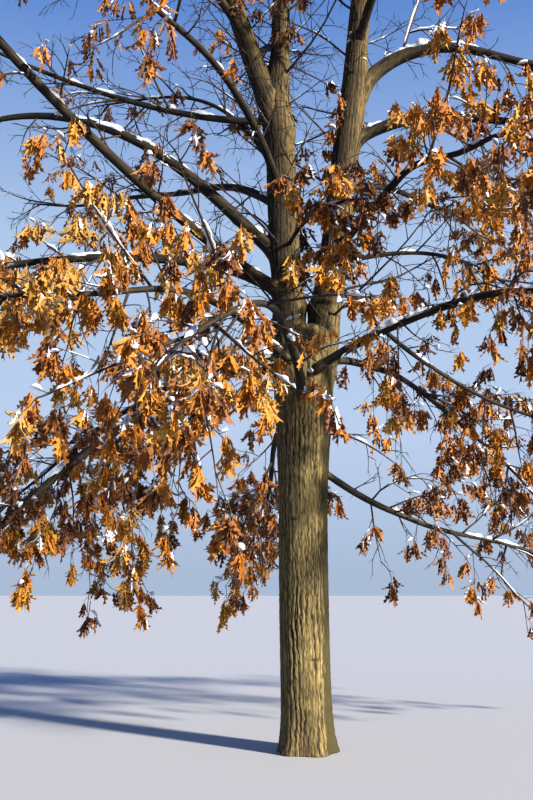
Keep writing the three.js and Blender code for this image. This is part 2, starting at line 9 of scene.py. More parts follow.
import bpy
import numpy as np
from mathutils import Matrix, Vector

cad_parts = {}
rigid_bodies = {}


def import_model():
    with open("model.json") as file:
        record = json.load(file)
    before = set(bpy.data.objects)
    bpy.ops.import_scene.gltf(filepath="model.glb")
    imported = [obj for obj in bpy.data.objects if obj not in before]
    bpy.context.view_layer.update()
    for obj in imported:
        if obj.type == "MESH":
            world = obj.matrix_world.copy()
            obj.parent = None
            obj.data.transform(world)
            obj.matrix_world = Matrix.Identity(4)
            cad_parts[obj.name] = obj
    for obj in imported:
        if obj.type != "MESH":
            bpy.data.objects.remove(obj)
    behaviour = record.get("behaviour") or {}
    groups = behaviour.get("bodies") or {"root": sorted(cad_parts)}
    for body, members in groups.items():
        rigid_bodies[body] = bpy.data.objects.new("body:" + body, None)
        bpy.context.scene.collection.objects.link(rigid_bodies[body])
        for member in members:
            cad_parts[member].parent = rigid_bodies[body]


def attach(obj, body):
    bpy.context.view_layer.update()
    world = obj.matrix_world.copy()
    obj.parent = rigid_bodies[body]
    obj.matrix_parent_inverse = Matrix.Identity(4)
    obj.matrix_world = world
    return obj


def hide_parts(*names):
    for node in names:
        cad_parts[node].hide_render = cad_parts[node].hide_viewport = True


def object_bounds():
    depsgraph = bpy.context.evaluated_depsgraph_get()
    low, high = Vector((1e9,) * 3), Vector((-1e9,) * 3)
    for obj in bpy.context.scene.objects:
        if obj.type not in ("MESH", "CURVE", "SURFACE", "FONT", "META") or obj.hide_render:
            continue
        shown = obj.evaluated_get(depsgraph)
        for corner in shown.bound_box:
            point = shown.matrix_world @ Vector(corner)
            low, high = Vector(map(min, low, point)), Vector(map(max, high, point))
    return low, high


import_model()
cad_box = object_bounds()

# The source's driving dimensions
FORK_HEIGHT = 3.8
TRUNK_RADIUS = 0.224
FLARE = 0.046
FLARE_HEIGHT = 0.170
ROOT_RIDGES = 5
RIDGE_HEIGHT = 0.026
FORK_WIDENING = 0.058
FORK_NARROWING = 0.038
TRUNK_BEND = 0.022
TRUNK_STEPS = 11
GAP = 0.0003
COLLAR = 0.4
COLLAR_LENGTH = 1.6
TAPER = 0.85
AXIS_STEPS = 12
LIMB_SWAY = 4
STEM_TIP = 0.008
STEM_SWAY = 9
SHOOT_SPACING = 0.450
SHOOT_LENGTH = 0.56
SHOOT_SHORTENING = 0.55
SHOOT_ANGLE = 54
SHOOT_CLOSING = 20
SHOOT_RADIUS = 0.014
SHOOT_TAPER = 0.6
SHOOT_TRIMS = (1, 0.84, 0.68, 0.52, 0.36)
GOLDEN_ANGLE = 137.5
FLATTENING = 0.62
CLEARANCE = 0.025
CROWN_FLOOR = 0.9
BARE = 0.08
WAVES = (0.8, 1.5)  # fewest and most waves of the sway along a line
STEM_BEND = 0.8
STEM_END = 0.97
SHOOT_THINNING = 0.85
# Where the keys of the hash begin
TRUNK_KEY, LEADER_KEYS, BOUGH_KEYS, STEM_KEYS, PLACED_KEYS, SNOW_KEYS = 99, 100, 200, 1000, 960, 900

# name, parent, root or share of the parent's length, azimuth, rise, bend, length, radius
LEADERS = [
    ("leader_left", "trunk", (-0.112, 0, 3.5), (180, 184), (88, 86), 1, 2.65, (0.152, 0.142)),
    ("leader_left_outer", "leader_left", 0.9, (180, 212), (70, 77), 1.6, 3.5, (0.112, 0.058)),
    ("leader_left_inner", "leader_left", 0.92, (80, 62), (88, 80), 1, 3.7, (0.104, 0.056)),
    ("leader_right", "trunk", (0.108, 0, 3.5), (0, 0), (81, 83), 1, 2.9, (0.152, 0.122)),
    ("leader_right_upper", "leader_right", 0.93, (0, -50), (84, 78), 1, 3.5, (0.118, 0.060)),
]
# The same for the boughs, and the length, turn, last rise and leafy share of the mass that carries each on
BOUGH_ROWS = (
    ("right_low", "trunk", (-0.06, -0.1, 3.3), (330, 326), (44, 6), 0.48, 1.88, (0.044, 0.033),
     2.6, -16, -22, 1),
    ("front", "trunk", 0.87, (264, 258), (30, 4), 0.8, 1.8, (0.046, 0.030), 2.9, -8, -40, 1),
    ("front_left", "trunk", 0.93, (236, 232), (28, 6), 0.8, 1.6, (0.044, 0.029), 2.8, 10, -34, 1),
    ("left_droop", "trunk", 0.96, (195, 205), (4, -46), 0.45, 3.2, (0.046, 0.030), 2.2, 10, -8, 1),
    ("back_left", "trunk", 0.91, (152, 140), (34, -16), 0.8, 1.7, (0.046, 0.030), 3.3, 8, -32, 1),
    ("back", "trunk", 0.82, (104, 96), (30, -16), 0.8, 1.6, (0.046, 0.030), 3.3, 6, -30, 1),
    ("back_right", "trunk", 0.93, (50, 42), (34, -16), 0.8, 1.6, (0.045, 0.029), 3.3, 4, -32, 1),
    ("right_drop", "trunk", 0.78, (25, 30), (-28, -19), 1, 1.37, (0.036, 0.025), 2.9, -12, -14, 1),
    ("left_cross", "leader_left", 0.27, (215, 228), (15, 33), 0.78, 3.4, (0.050, 0.036), 2.4, 6, 26, 0.8),
    ("left_low", "leader_left", 0.26, (206, 196), (20, 0), 1, 1.3, (0.060, 0.042), 3.4, -6, -26, 1),
    ("left_high", "leader_left", 0.385, (180, 190), (43, -16), 2.44, 3.25, (0.068, 0.026), 2.3, 8, 20, 0.7),
    ("right_hook", "leader_right", 0.31, (15, 25), (-52, -26), 0.7, 1.5, (0.027, 0.020), 2.6, -38, -2, 1),
    ("front_right", "leader_right", 0.38, (302, 290), (34, 4), 0.8, 1.3, (0.046, 0.030), 2.7, -4, -38, 1),
    ("right_mid", "leader_right", 0.766, (-2, -12), (55, -13), 0.45, 1.55, (0.064, 0.036), 3.3, 2, -12, 1),
    ("front_upper", "leader_left", 0.62, (250, 240), (46, 12), 0.8, 1.7, (0.044, 0.028), 2.8, -6, 14, 0.8),
    ("back_upper", "leader_left", 0.58, (122, 134), (46, 8), 0.8, 1.7, (0.050, 0.031), 3.2, 8, 14, 0.7),
    ("right_back_upper", "leader_right", 0.56, (66, 52), (46, 6), 0.8, 1.6, (0.050, 0.030),
     3.2, -12, 18, 0.7),
    ("arch_right", "leader_right", 0.89, (0, -8), (86, -28), 0.82, 1.75, (0.090, 0.038), 3.2, -6, 30, 0.9),
)
BOUGHS = [("bough_" + name, *row[:7]) for name, *row in BOUGH_ROWS]
# Masses that carry on from a limb's tip: name, limb, length, turn, last rise, leafy share
TIP_MASSES = [("foliage_" + name, "bough_" + name, *row[7:]) for name, *row in BOUGH_ROWS] + [
    ("foliage_top_left", "leader_left_outer", 3.9, 20, 62, 0.4),
    ("foliage_top_middle", "leader_left_inner", 4.2, -20, 82, 0.4),
    ("foliage_top_right", "leader_right_upper", 3.8, 10, 62, 0.4),
]
# Masses from a leader's side: name, leader, share, azimuth, rise, length, radius, bare share, leafy
SIDE_MASSES = [("foliage_" + row[0], *row[1:]) for row in (
    ("inner_front", "leader_left", 0.42, (286, 306), (24, -20), 1.7, 0.020, 0.25, 1),
    ("right_small", "leader_right", 0.345, (5, 24), (22, -36), 2.5, 0.025, 0.36, 0.8),
    ("left_thin", "leader_left", 0.668, (174, 158), (72, -6), 2.6, 0.026, 0.4, 0.6),
    ("left_top", "leader_left_outer", 0.03, (190, 196), (-8, 28), 3.6, 0.038, 0.26, 0.5),
    ("crown_front", "leader_right_upper", 0.17, (284, 292), (38, 6), 4.3, 0.046, 0.34, 0.5),
    ("crown_back", "leader_left_inner", 0.22, (96, 86), (38, 6), 4.3, 0.046, 0.34, 0.4),
    ("crown_front_left", "leader_left_outer", 0.28, (238, 226), (34, 4), 4.2, 0.044, 0.34, 0.5),
    ("crown_back_left", "leader_left_inner", 0.42, (146, 134), (40, 8), 4.2, 0.042, 0.34, 0.3),
    ("crown_back_right", "leader_left_inner", 0.55, (34, 44), (44, 16), 4.0, 0.040, 0.34, 0.3),
    ("crown_right", "leader_right_upper", 0.55, (4, 12), (38, 10), 3.9, 0.040, 0.32, 0.4),
    ("crown_left", "leader_left_outer", 0.68, (186, 178), (38, 12), 3.6, 0.038, 0.32, 0.4),
)]

WORD = 0xFFFFFFFF  # the hash is of 32 bits
UP = np.array([0.0, 0.0, 1.0])


def mix(key, index):
    """The source's hash, for arrays of keys and indices."""
    key, index = (np.atleast_1d(np.asarray(v, dtype=np.uint64)) for v in (key, index))
    h = ((key + 1) * 0x9E3779B1 & WORD) ^ ((index + 1) * 0x85EBCA6B & WORD)
    h = (h ^ (h >> 15)) * 0x2C1B3C6D & WORD
    h = (h ^ (h >> 12)) * 0x297A2D39 & WORD
    return h ^ (h >> 15)


def chance(key, index):
    return mix(key, index) / (WORD + 1)


def between(key, index, low, high):
    return low + (high - low) * chance(key, index)


def unit(vectors):
    return vectors / np.maximum(np.linalg.norm(vectors, axis=-1, keepdims=True), 1e-12)


def heading(azimuth, rise):
    a = np.radians(azimuth)
    e = np.radians(rise)
    return np.stack([np.cos(e) * np.cos(a), np.cos(e) * np.sin(a), np.sin(e)], axis=-1)


def as_angles(direction):
    azimuth = np.degrees(np.arctan2(direction[..., 1], direction[..., 0]))
    return azimuth, np.degrees(np.arcsin(np.clip(direction[..., 2], -1, 1)))


def grow(root, azimuth, rise, bend, length, sway, key, steps=AXIS_STEPS):
    """Centre lines, (n, steps + 1, 3), and their tangents, from arrays with one row for each line."""
    a0, a1, e0, e1 = (np.asarray(v, dtype=float)[:, None] for v in (*azimuth, *rise))
    waves = between(key, 101, *WAVES)[:, None]
    across = (sway * between(key, 102, -1, 1))[:, None]
    upward = (sway * between(key, 103, -1, 1))[:, None]

    def heading_at(share):
        swing = np.sin(2 * np.pi * waves * share)
        return heading(a0 + (a1 - a0) * share + across * swing, e0 + (e1 - e0) * share**bend + upward * swing)

    middles = (np.arange(steps) + 0.5) / steps
    moves = heading_at(middles) * (np.asarray(length, dtype=float)[:, None, None] / steps)
    root = np.asarray(root, dtype=float)[:, None, :]
    points = np.concatenate([root, root + np.cumsum(moves, axis=1)], axis=1)
    return points, heading_at(np.arange(steps + 1) / steps)


def on_lines(lines, share):
    """Values at a share of each of n lines, (n, k, 3); share is (n,) or (n, m)."""
    place = np.clip(share, 0, 1) * (lines.shape[1] - 1)
    i = np.minimum(np.floor(place).astype(int), lines.shape[1] - 2)
    rows = np.arange(len(lines)).reshape((-1,) + (1,) * (place.ndim - 1))
    t = (place - i)[..., None]
    return lines[rows, i] * (1 - t) + lines[rows, i + 1] * t


def places_on(rows, number, share):
    """Points and tangents at a share of each of the lines with these numbers."""
    return on_lines(rows["points"][number], share), unit(on_lines(rows["tangents"][number], share))


def numbered(counts):
    """For rows of as many things as counts says, each thing's row and its place in it."""
    row = np.repeat(np.arange(len(counts)), counts)
    return row, np.arange(len(row)) - np.repeat(np.cumsum(counts) - counts, counts)


def rows_of(carriers):
    """Limbs as a dict of arrays with one row for each, as branches have."""
    rows = {name: np.stack([getattr(limb, name) for limb in carriers])
            for name in ("points", "tangents", "length")}
    return dict(rows, key=np.array([limb.key for limb in carriers], dtype=np.uint64))


def side_heading(tangent, roll, angle, flattening=FLATTENING):
    level = unit(np.cross(tangent, UP))
    upward = np.cross(level, tangent)
    roll = np.radians(roll)[..., None]
    angle = np.radians(angle)[..., None]
    side = unit(level * np.cos(roll) + upward * flattening * np.sin(roll))
    return tangent * np.cos(angle) + side * np.sin(angle)


class Limb:
    """A centre line with a radius at each share of its length."""

    def __init__(self, name, key, points, tangents, shares, radius_at):
        self.name, self.key = name, key
        self.points, self.tangents, self.shares = points, tangents, shares
        self.radius_at = self.plain_radius_at = radius_at
        self.length = float(np.linalg.norm(np.diff(points, axis=0), axis=1).sum())

    def at(self, share):
        share = np.atleast_1d(share)
        return places_on(rows_of([self]), np.zeros(len(share), int), share)

    def distance(self, points):
        """How far points lie from the centre line, and the share of its length that is nearest."""
        a = self.points[:-1]
        ab = np.diff(self.points, axis=0)
        t = np.einsum("nsk,sk->ns", points[:, None] - a, ab) / np.einsum("sk,sk->s", ab, ab)
        t = np.clip(t, 0, 1)
        gaps = np.linalg.norm(points[:, None] - (a + t[..., None] * ab), axis=-1)
        best = gaps.argmin(axis=1)
        rows = np.arange(len(points))
        share = self.shares[best] + t[rows, best] * (self.shares[best + 1] - self.shares[best])
        return gaps[rows, best], share


def smoothstep(x, low, high):
    t = np.clip((x - low) / (high - low), 0, 1)
    return t * t * (3 - 2 * t)


def trunk_outline(height, angle):
    near_fork = smoothstep(height, 0.55 * FORK_HEIGHT, 0.93 * FORK_HEIGHT)
    ridge = RIDGE_HEIGHT * np.cos(ROOT_RIDGES * angle + 0.6) * np.exp(-height / (2 * FLARE_HEIGHT))
    r = TRUNK_RADIUS + FLARE * np.exp(-height / FLARE_HEIGHT) + ridge
    return (r + FORK_WIDENING * near_fork) * np.cos(angle), (r - FORK_NARROWING * near_fork) * np.sin(angle)


def stem_radius(base, tip=STEM_TIP):
    return lambda share: tip + (base - tip) * (1 - share) ** TAPER


def tapered(length, base, tip):
    """The radius of a limb with a collar at its root."""
    plain = stem_radius(base, tip)
    return lambda share: plain(share) + COLLAR * base * np.exp(-(share * length) / (COLLAR_LENGTH * base))


def grow_one(name, key, root, azimuth, rise, bend, length, sway, radius_at):
    points, tangents = grow([root], [[v] for v in azimuth], [[v] for v in rise], bend, [length], sway, key)
    return Limb(name, key, points[0], tangents[0], np.linspace(0, 1, AXIS_STEPS + 1), radius_at)


def make_trunk():
    shares = (np.arange(TRUNK_STEPS + 1) / TRUNK_STEPS) ** 1.5
    points = np.stack([-TRUNK_BEND * np.sin(np.pi * shares), 0 * shares, shares * FORK_HEIGHT], axis=1)
    tangents = np.repeat(UP[None], len(points), axis=0)
    return Limb("trunk", TRUNK_KEY, points, tangents, shares,
                lambda share: np.hypot(*trunk_outline(share * FORK_HEIGHT, 0.0)))


limbs = {"trunk": make_trunk()}
parents = {}
for first_key, table in ((LEADER_KEYS, LEADERS), (BOUGH_KEYS, BOUGHS)):
    for i, (name, parent, place, azimuth, rise, bend, length, (base, tip)) in enumerate(table):
        root = place if isinstance(place, tuple) else limbs[parent].at(place)[0][0]
        limbs[name] = grow_one(name, first_key + i, root, azimuth, rise, bend, length, LIMB_SWAY,
                               tapered(length, base, tip))
        limbs[name].plain_radius_at = stem_radius(base, tip)
        parents[name] = parent

stems = []
facts = []


def add_stem(name, carrier, root, azimuth, rise, length, radius, bare, leafy):
    stems.append(grow_one(name, STEM_KEYS + len(stems), root, azimuth, rise, STEM_BEND, length, STEM_SWAY,
                          stem_radius(radius)))
    facts.append((length, bare, leafy))
    parents[name] = carrier


for name, carrier, length, turn, last_rise, leafy in TIP_MASSES:
    limb = limbs[carrier]
    azimuth, rise = (float(v) for v in as_angles(unit(limb.tangents[-1])))
    add_stem(name, carrier, limb.points[-1] + limb.tangents[-1] * GAP, (azimuth, azimuth + turn),
             (rise, last_rise), length, float(limb.radius_at(1.0)), BARE, leafy)
for name, carrier, share, *rest in SIDE_MASSES:
    add_stem(name, carrier, limbs[carrier].at(share)[0][0], *rest)


def clear_of_limbs(points, size):
    clear = np.ones(len(points), dtype=bool)
    for limb in limbs.values():
        distance, share = limb.distance(points)
        clear &= distance >= limb.radius_at(share) + size
    return clear


def in_space(number, points, size):
    """The source's test: nearer to its own stem than to any other, clear of limbs, not too low."""
    gaps = np.stack([stem.distance(points)[0] for stem in stems], axis=1)
    rows = np.arange(len(points))
    own = gaps[rows, number].copy()
    gaps[rows, number] = np.inf
    fits = (gaps.min(axis=1) >= own + CLEARANCE + 2 * size) & (points[:, 2] - size >= CROWN_FLOOR)
    return fits & clear_of_limbs(points, CLEARANCE + size)


def grow_shoots():
    """The source's side branches, with the number of the stem that each is on."""
    rows = rows_of(stems)
    length, bare, leafy = np.array(facts, dtype=float).T
    counts = (length * (1 - bare) / SHOOT_SPACING + 0.5).astype(int)
    number, order = numbered(counts)
    length, bare, leafy, counts, stem_key = (v[number] for v in (length, bare, leafy, counts, rows["key"]))
    key = mix(stem_key, 10 + order)
    along = (order + between(key, 1, 0.2, 0.8)) / counts
    share = bare + (STEM_END - bare) * along
    roll = between(stem_key, 7, 0, 360) + order * GOLDEN_ANGLE + between(key, 2, -18, 18)
    angle = SHOOT_ANGLE - SHOOT_CLOSING * along + between(key, 3, -8, 8)
    root, tangent = places_on(rows, number, share)
    thick = stem_radius(np.array([float(stem.radius_at(0.0)) for stem in stems])[number])(share)
    azimuth, rise = as_angles(side_heading(tangent, roll, angle))
    reach = length * (1 - bare) * SHOOT_LENGTH * (1 - SHOOT_SHORTENING * along) * between(key, 4, 0.8, 1.15)
    points = np.zeros((len(key), AXIS_STEPS + 1, 3))
    tangents = np.zeros_like(points)
    waiting = np.ones(len(key), dtype=bool)
    last_rise = rise + between(key, 5, -16, 10)
    for trim in SHOOT_TRIMS:
        w = np.flatnonzero(waiting)
        tried, turned = grow(root[w], (azimuth[w], azimuth[w]), (rise[w], last_rise[w]), 1, reach[w] * trim,
                             STEM_SWAY, key[w])
        tests = tried[:, 2:]
        fits = in_space(np.repeat(number[w], tests.shape[1]), tests.reshape(-1, 3), SHOOT_RADIUS)
        good = fits.reshape(len(w), -1).all(axis=1)
        points[w[good]] = tried[good]
        tangents[w[good]] = turned[good]
        waiting[w[good]] = False
        reach[w[good]] *= trim
    kept = ~waiting
    return dict(points=points[kept], tangents=tangents[kept], key=key[kept], number=number[kept],
                length=reach[kept], radius=np.minimum(SHOOT_RADIUS, SHOOT_THINNING * thick)[kept],
                leafy=(chance(key, 6) < leafy)[kept])


def branch_off(parents, rule):
    """Side branches of n lines by one rule, as a dict of arrays with one row for each branch."""
    low, high = rule["span"]
    counts = np.maximum(1, (parents["length"] * (high - low) / rule["spacing"] + 0.5).astype(int))
    parent, order = numbered(counts)
    key = mix(parents["key"][parent], rule["index"] + order)
    along = (order + between(key, 1, 0.15, 0.85)) / counts[parent]
    share = low + (high - low) * along
    roll = between(parents["key"], 7, 0, 360)[parent] + order * GOLDEN_ANGLE + between(key, 2, -25, 25)
    root, tangent = places_on(parents, parent, share)
    angle = rule["angle"] - rule["closing"] * along + between(key, 3, -10, 10)
    azimuth, rise = as_angles(side_heading(tangent, roll, angle, rule["flattening"]))
    shortest, longest, of_parent = rule["length"]
    length = between(key, 4, shortest, longest) + of_parent * parents["length"][parent]
    length = length * (1 - TWIG_SHORTENING * along)
    turned = azimuth + between(key, 6, -rule["swing"], rule["swing"])
    drooped = rise + between(key, 5, *rule["droop"])
    points, tangents = grow(root, (azimuth, turned), (rise, drooped), 1, length, rule["sway"], key,
                            rule["steps"])
    return dict(parent=parent, key=key, share=share, points=points, tangents=tangents, length=length)


def keep(rows, kept):
    return {name: values[kept] for name, values in rows.items()}


def together(*parts):
    return {name: np.concatenate([part[name] for part in parts]) for name in parts[0]}


# Twigs finer than the source's. span is the stretch of the parent that bears them, length the
# shortest and longest and a share of the parent's length, droop the turn of the rise along a twig.
RULE = ("index", "span", "spacing", "length", "angle", "closing", "flattening", "droop", "swing", "sway",
        "steps")
STEM_TWIGS, BOUGH_TWIGS, LEADER_TWIGS, TWIGS, TWIGLETS = (dict(zip(RULE, row)) for row in (
    (400, (0.10, 0.98), 0.21, (0.30, 0.85, 0.04), 60, 24, 0.8, (-34, 8), 34, 12, 12),
    (440, (0.30, 1.0), 0.25, (0.35, 1.05, 0), 60, 14, 0.8, (-30, 14), 34, 12, 12),
    (480, (0.12, 1.0), 0.15, (0.55, 2.00, 0), 60, 10, 1.0, (-28, 26), 50, 16, 12),
    (40, (0.12, 0.99), 0.135, (0.14, 0.36, 0.16), 54, 16, 0.85, (-42, 6), 40, 14, 4),
    (20, (0.22, 0.98), 0.120, (0.07, 0.15, 0.08), 50, 10, 1.0, (-30, 8), 26, 0, 2),
))
TWIG_SHORTENING = 0.45
BRANCH_STEPS = 7
THINNEST_BRANCH = 0.0026
SIDE_TWIG_RADIUS = 0.0100
TWIG_RADIUS = 0.0053
TWIGLET_RADIUS = 0.0034
BOUGH_LEAFY = 0.5
LEADER_LEAFY = 0.06
TWIG_LEAFY = 0.84
BARE_TWIG_LEAFY = 0.03
TWIG_CLEARANCE = 0.012

# How full some masses hang, where the rest are 1, and how much darker their leaves are, by name: partly a
# browner tint and partly painted light and shade
LOOKS = {
    "left_high": (0.13, 0.42), "left_thin": (0.15, 0.36), "left_top": (0.14, 0.42),
    "top_left": (0.35, 0.12), "crown_front_left": (0.22, 0.0), "crown_left": (0.4, 0.0),
    "crown_back_left": (0.45, 0.0), "top_middle": (0.4, 0.14), "crown_front": (0.45, 0.0),
    "crown_back": (0.16, 0.16), "left_cross": (0.35, 0.34), "right_drop": (0.62, 0.34),
    "right_hook": (0.75, 0.26), "right_low": (0.9, 0.1), "right_small": (0.9, 0.12),
    "inner_front": (2.2, 0.12), "front_left": (1.25, -0.03), "front": (1.45, 0.0),
    "left_low": (1.25, -0.04), "left_droop": (1.7, 0.16), "back_left": (1.5, 0.12),
    "front_right": (1.1, 0.08), "front_upper": (0.38, 0.2), "back_upper": (0.34, 0.38),
    "back_right": (1.0, 0.26), "back": (1.0, 0.12), "top_right": (1.0, 0.12), "arch_right": (1.0, 0.1),
    "right_mid": (1.0, 0.08), "right_back_upper": (1.0, 0.12),
}
LOOKS_OF_LEADERS = (1.0, 0.1)
# Branches placed one by one: limb, or none for the branch before, share, azimuth, rise, length, radius and
# if it is leafy. Those without leaves are thick with snow.
PLACED = (
    ("bough_arch_right", 0.50, (-10, -30), (76, 62), 1.25, 0.018, False),
    ("", 0.19, (-15, -5), (14, -24), 0.75, 0.011, False),
    ("bough_back_left", 0.70, (150, 120), (-50, -84), 1.50, 0.010, True),
    ("bough_back_left", 0.95, (220, 250), (-55, -86), 1.85, 0.012, True),
    ("foliage_back_left", 0.28, (300, 330), (-55, -85), 1.95, 0.012, True),
    ("foliage_back_left", 0.45, (290, 320), (-55, -85), 1.85, 0.012, True),
    ("bough_left_droop", 0.50, (200, 230), (-50, -85), 1.10, 0.009, True),
    ("bough_left_droop", 0.74, (220, 200), (-50, -85), 1.10, 0.009, True),
    ("foliage_front", 0.50, (140, 180), (-60, -86), 1.30, 0.010, True),
    ("foliage_front", 0.78, (60, 40), (-55, -85), 1.00, 0.010, True),
    ("bough_right_low", 0.86, (290, 330), (40, -75), 1.20, 0.011, True),
    ("foliage_right_low", 0.10, (270, 310), (35, -78), 1.25, 0.011, True),
    ("bough_right_low", 0.60, (250, 280), (-45, -85), 0.90, 0.009, True),
    ("bough_right_drop", 0.60, (20, 5), (60, -40), 1.05, 0.010, True),
    ("bough_right_drop", 0.92, (50, 70), (50, -50), 1.00, 0.010, True),
    ("bough_right_drop", 0.80, (320, 290), (15, -75), 0.80, 0.009, True),
    ("bough_back_right", 0.62, (300, 330), (-40, -84), 1.20, 0.009, True),
    ("bough_back_right", 0.98, (310, 340), (-30, -84), 1.10, 0.009, True),
    ("trunk", 0.82, (-8, 12), (14, -48), 1.10, 0.014, False),
    ("bough_arch_right", 0.74, (290, 310), (-20, -80), 1.00, 0.010, True),
    ("bough_arch_right", 0.97, (280, 310), (-25, -82), 1.15, 0.010, True),
    ("foliage_arch_right", 0.16, (270, 300), (-20, -82), 1.20, 0.010, True),
)
PLACED_TIP = 0.003
# Places, each with a radius, where every twig is leafy
CLUMPS = ((-1.47, -2.25, 5.82, 0.45),)
# and where none is, so that the trunk shows
CLEARINGS = ((-0.05, -2.2, 3.42, 0.42), (-0.07, -1.16, 3.69, 0.24), (-0.05, -0.9, 3.3, 0.3))
CAMERA_PLACE = (-0.36, -9.28, 1.52)
# Places on the fork and on the bough across the trunk, each with the radius where no leaf's middle hides it
IN_SIGHT = ((0.17, -0.15, 4.02, 0.24), (0.14, -0.20, 3.46, 0.19), (0.30, -0.32, 3.60, 0.14))


def in_the_way(points):
    """True for the points that lie between the camera and a place that stays in sight."""
    hides = np.zeros(len(points), bool)
    for *place, radius in IN_SIGHT:
        line = np.array(CAMERA_PLACE) - place
        share = ((points - place) @ line) / (line @ line)
        gap = np.linalg.norm(points - place - share[:, None] * line, axis=1)
        hides |= (share > 0.02) & (share < 1) & (gap < radius * (1 - share))
    return hides


def within_reach(points):
    """True where every point of a row lies in the source's box and clear of the ground."""
    in_box = ((points > cad_box[0]) & (points < cad_box[1])).all(axis=(1, 2))
    return in_box & (points[..., 2] > CROWN_FLOOR).all(axis=1)


def outside_limbs(rows, first, size):
    """True for the branches that stay in reach and clear of every limb from their point number first."""
    tests = rows["points"][:, first:]
    clear = clear_of_limbs(tests.reshape(-1, 3), size).reshape(len(tests), -1).all(axis=1)
    return clear & within_reach(tests)


def side_twigs(carriers, masses, rule, leafy):
    """Side twigs of limbs or stems, with the mass that each belongs to, or -1."""
    rows = branch_off(rows_of(carriers), rule)
    bases = np.array([float(limb.radius_at(0.5)) for limb in carriers])[rows["parent"]]
    rows["radius"] = np.minimum(SIDE_TWIG_RADIUS * (0.7 + 0.45 * rows["length"]), 0.6 * bases)
    rows["leafy"] = chance(rows["key"], 8) < np.asarray(leafy)[rows["parent"]]
    rows["mass"] = np.asarray(masses)[rows["parent"]]
    return rows


mass_names = [stem.name for stem in stems]
looks = [LOOKS.get(name.removeprefix("foliage_"), (1.0, 0.0)) for name in mass_names]
fullness, tint_and_shade_darkening = np.array(looks + [LOOKS_OF_LEADERS]).T
carried_by = {row[1]: mass_names.index(row[0]) for row in TIP_MASSES}

shoots = grow_shoots()
shoots["mass"] = shoots["number"]
leaders = [limbs[row[0]] for row in LEADERS]
boughs = [limbs[row[0]] for row in BOUGHS]
stem_twigs = side_twigs(stems, range(len(stems)), STEM_TWIGS, [fact[2] for fact in facts])
bare_to = np.array([fact[1] for fact in facts])[stem_twigs["parent"]]
stem_twigs["leafy"] &= stem_twigs["share"] > bare_to
bough_twigs = side_twigs(boughs, [carried_by[bough.name] for bough in boughs], BOUGH_TWIGS,
                         [BOUGH_LEAFY] * len(boughs))
leader_twigs = side_twigs(leaders, [-1] * len(leaders), LEADER_TWIGS, [LEADER_LEAFY] * len(leaders))
everything = {**limbs, **{stem.name: stem for stem in stems}}
placed = []
for n, (name, share, azimuth, rise, length, radius, _) in enumerate(PLACED):
    carrier = everything[name] if name else placed[-1]
    placed.append(grow_one("placed", PLACED_KEYS + n, carrier.at(share)[0][0], azimuth, rise, STEM_BEND,
                           length, STEM_SWAY, stem_radius(radius, PLACED_TIP)))
placed_rows = rows_of(placed)
mass_of = {**carried_by, **{name: i for i, name in enumerate(mass_names)}}
placed_rows["mass"] = np.array([mass_of.get(row[0], 0) for row in PLACED])
placed_rows["radius"] = np.array([row[5] for row in PLACED])
placed_rows["leafy"] = np.array([row[6] for row in PLACED])
branches = together(*({name: rows[name] for name in placed_rows}
                      for rows in (shoots, stem_twigs, bough_twigs, leader_twigs, placed_rows)))
branches = keep(branches, outside_limbs(branches, 5, TWIG_CLEARANCE))

twigs = branch_off(branches, TWIGS)
twigs["radius"] = np.minimum(TWIG_RADIUS, 0.7 * branches["radius"][twigs["parent"]])
twigs["mass"] = branches["mass"][twigs["parent"]]
leafy_share = np.where(branches["leafy"], TWIG_LEAFY, BARE_TWIG_LEAFY)[twigs["parent"]]
twigs["leafy"] = chance(twigs["key"], 8) < leafy_share * np.minimum(fullness[twigs["mass"]], 1)
for *place, radius in CLUMPS:
    twigs["leafy"] |= np.linalg.norm(twigs["points"][:, -1] - place, axis=1) < radius
for *place, radius in CLEARINGS:
    twigs["leafy"] &= np.linalg.norm(twigs["points"][:, -1] - place, axis=1) > radius
twigs = keep(twigs, outside_limbs(twigs, 1, TWIG_CLEARANCE))

twiglets = branch_off(twigs, TWIGLETS)
twiglets["radius"] = np.minimum(TWIGLET_RADIUS, 0.75 * twigs["radius"][twiglets["parent"]])
twiglets["mass"] = twigs["mass"][twiglets["parent"]]
twiglets = keep(twiglets, within_reach(twiglets["points"]))

# Leaves hang in tufts from the last part of each leafy twiglet and twig.
THIN_TUFT = 0.6  # share of the leaves that a tuft has in the masses that are less full than BAREST
BAREST = 0.5
TUFT_LEAVES = (4.8, 9.0, 0.45)  # fewest and most on a twiglet, and the share of it where they begin
TIP_LEAVES = (5.7, 10.0, 0.72)  # and on a twig's own end
LEAF_ROLL = 40  # how far a leaf turns round its twig from its place in the tuft, either way
LEAF_ANGLE = (35, 85)
LEAF_LENGTH = (0.115, 0.200)
SMALL_LEAVES = 0.86  # scale of the leaves of the mass that comes nearest to the camera
LEAF_BREADTH = (0.52, 0.88)
LEAF_OUT = (0.10, 0.75)  # weights of straight out and straight down in a leaf's heading
LEAF_SINK = (0.80, 2.20)
LEAF_CURL = (-1.1, 2.0)
LEAF_FOLD = (0.35, 1.30)
LEAF_TWIST = 1.1
LEAF_CLEARANCE = 0.015
LEAF_MIDDLE = 0.6
FLATTEST_CURL = 0.05

# Half of a red oak's leaf: places along the midrib, then the notches and the pointed lobes beside it
MIDRIB = (0.0, 0.52, 1.0)
NOTCHES = ((0.12, 0.050), (0.35, 0.090), (0.60, 0.080), (0.83, 0.050))
LOBES = ((0.26, 0.205), (0.55, 0.300), (0.81, 0.215))
STALK = (-0.20, 0.011)  # how far it reaches behind the blade, and its half width


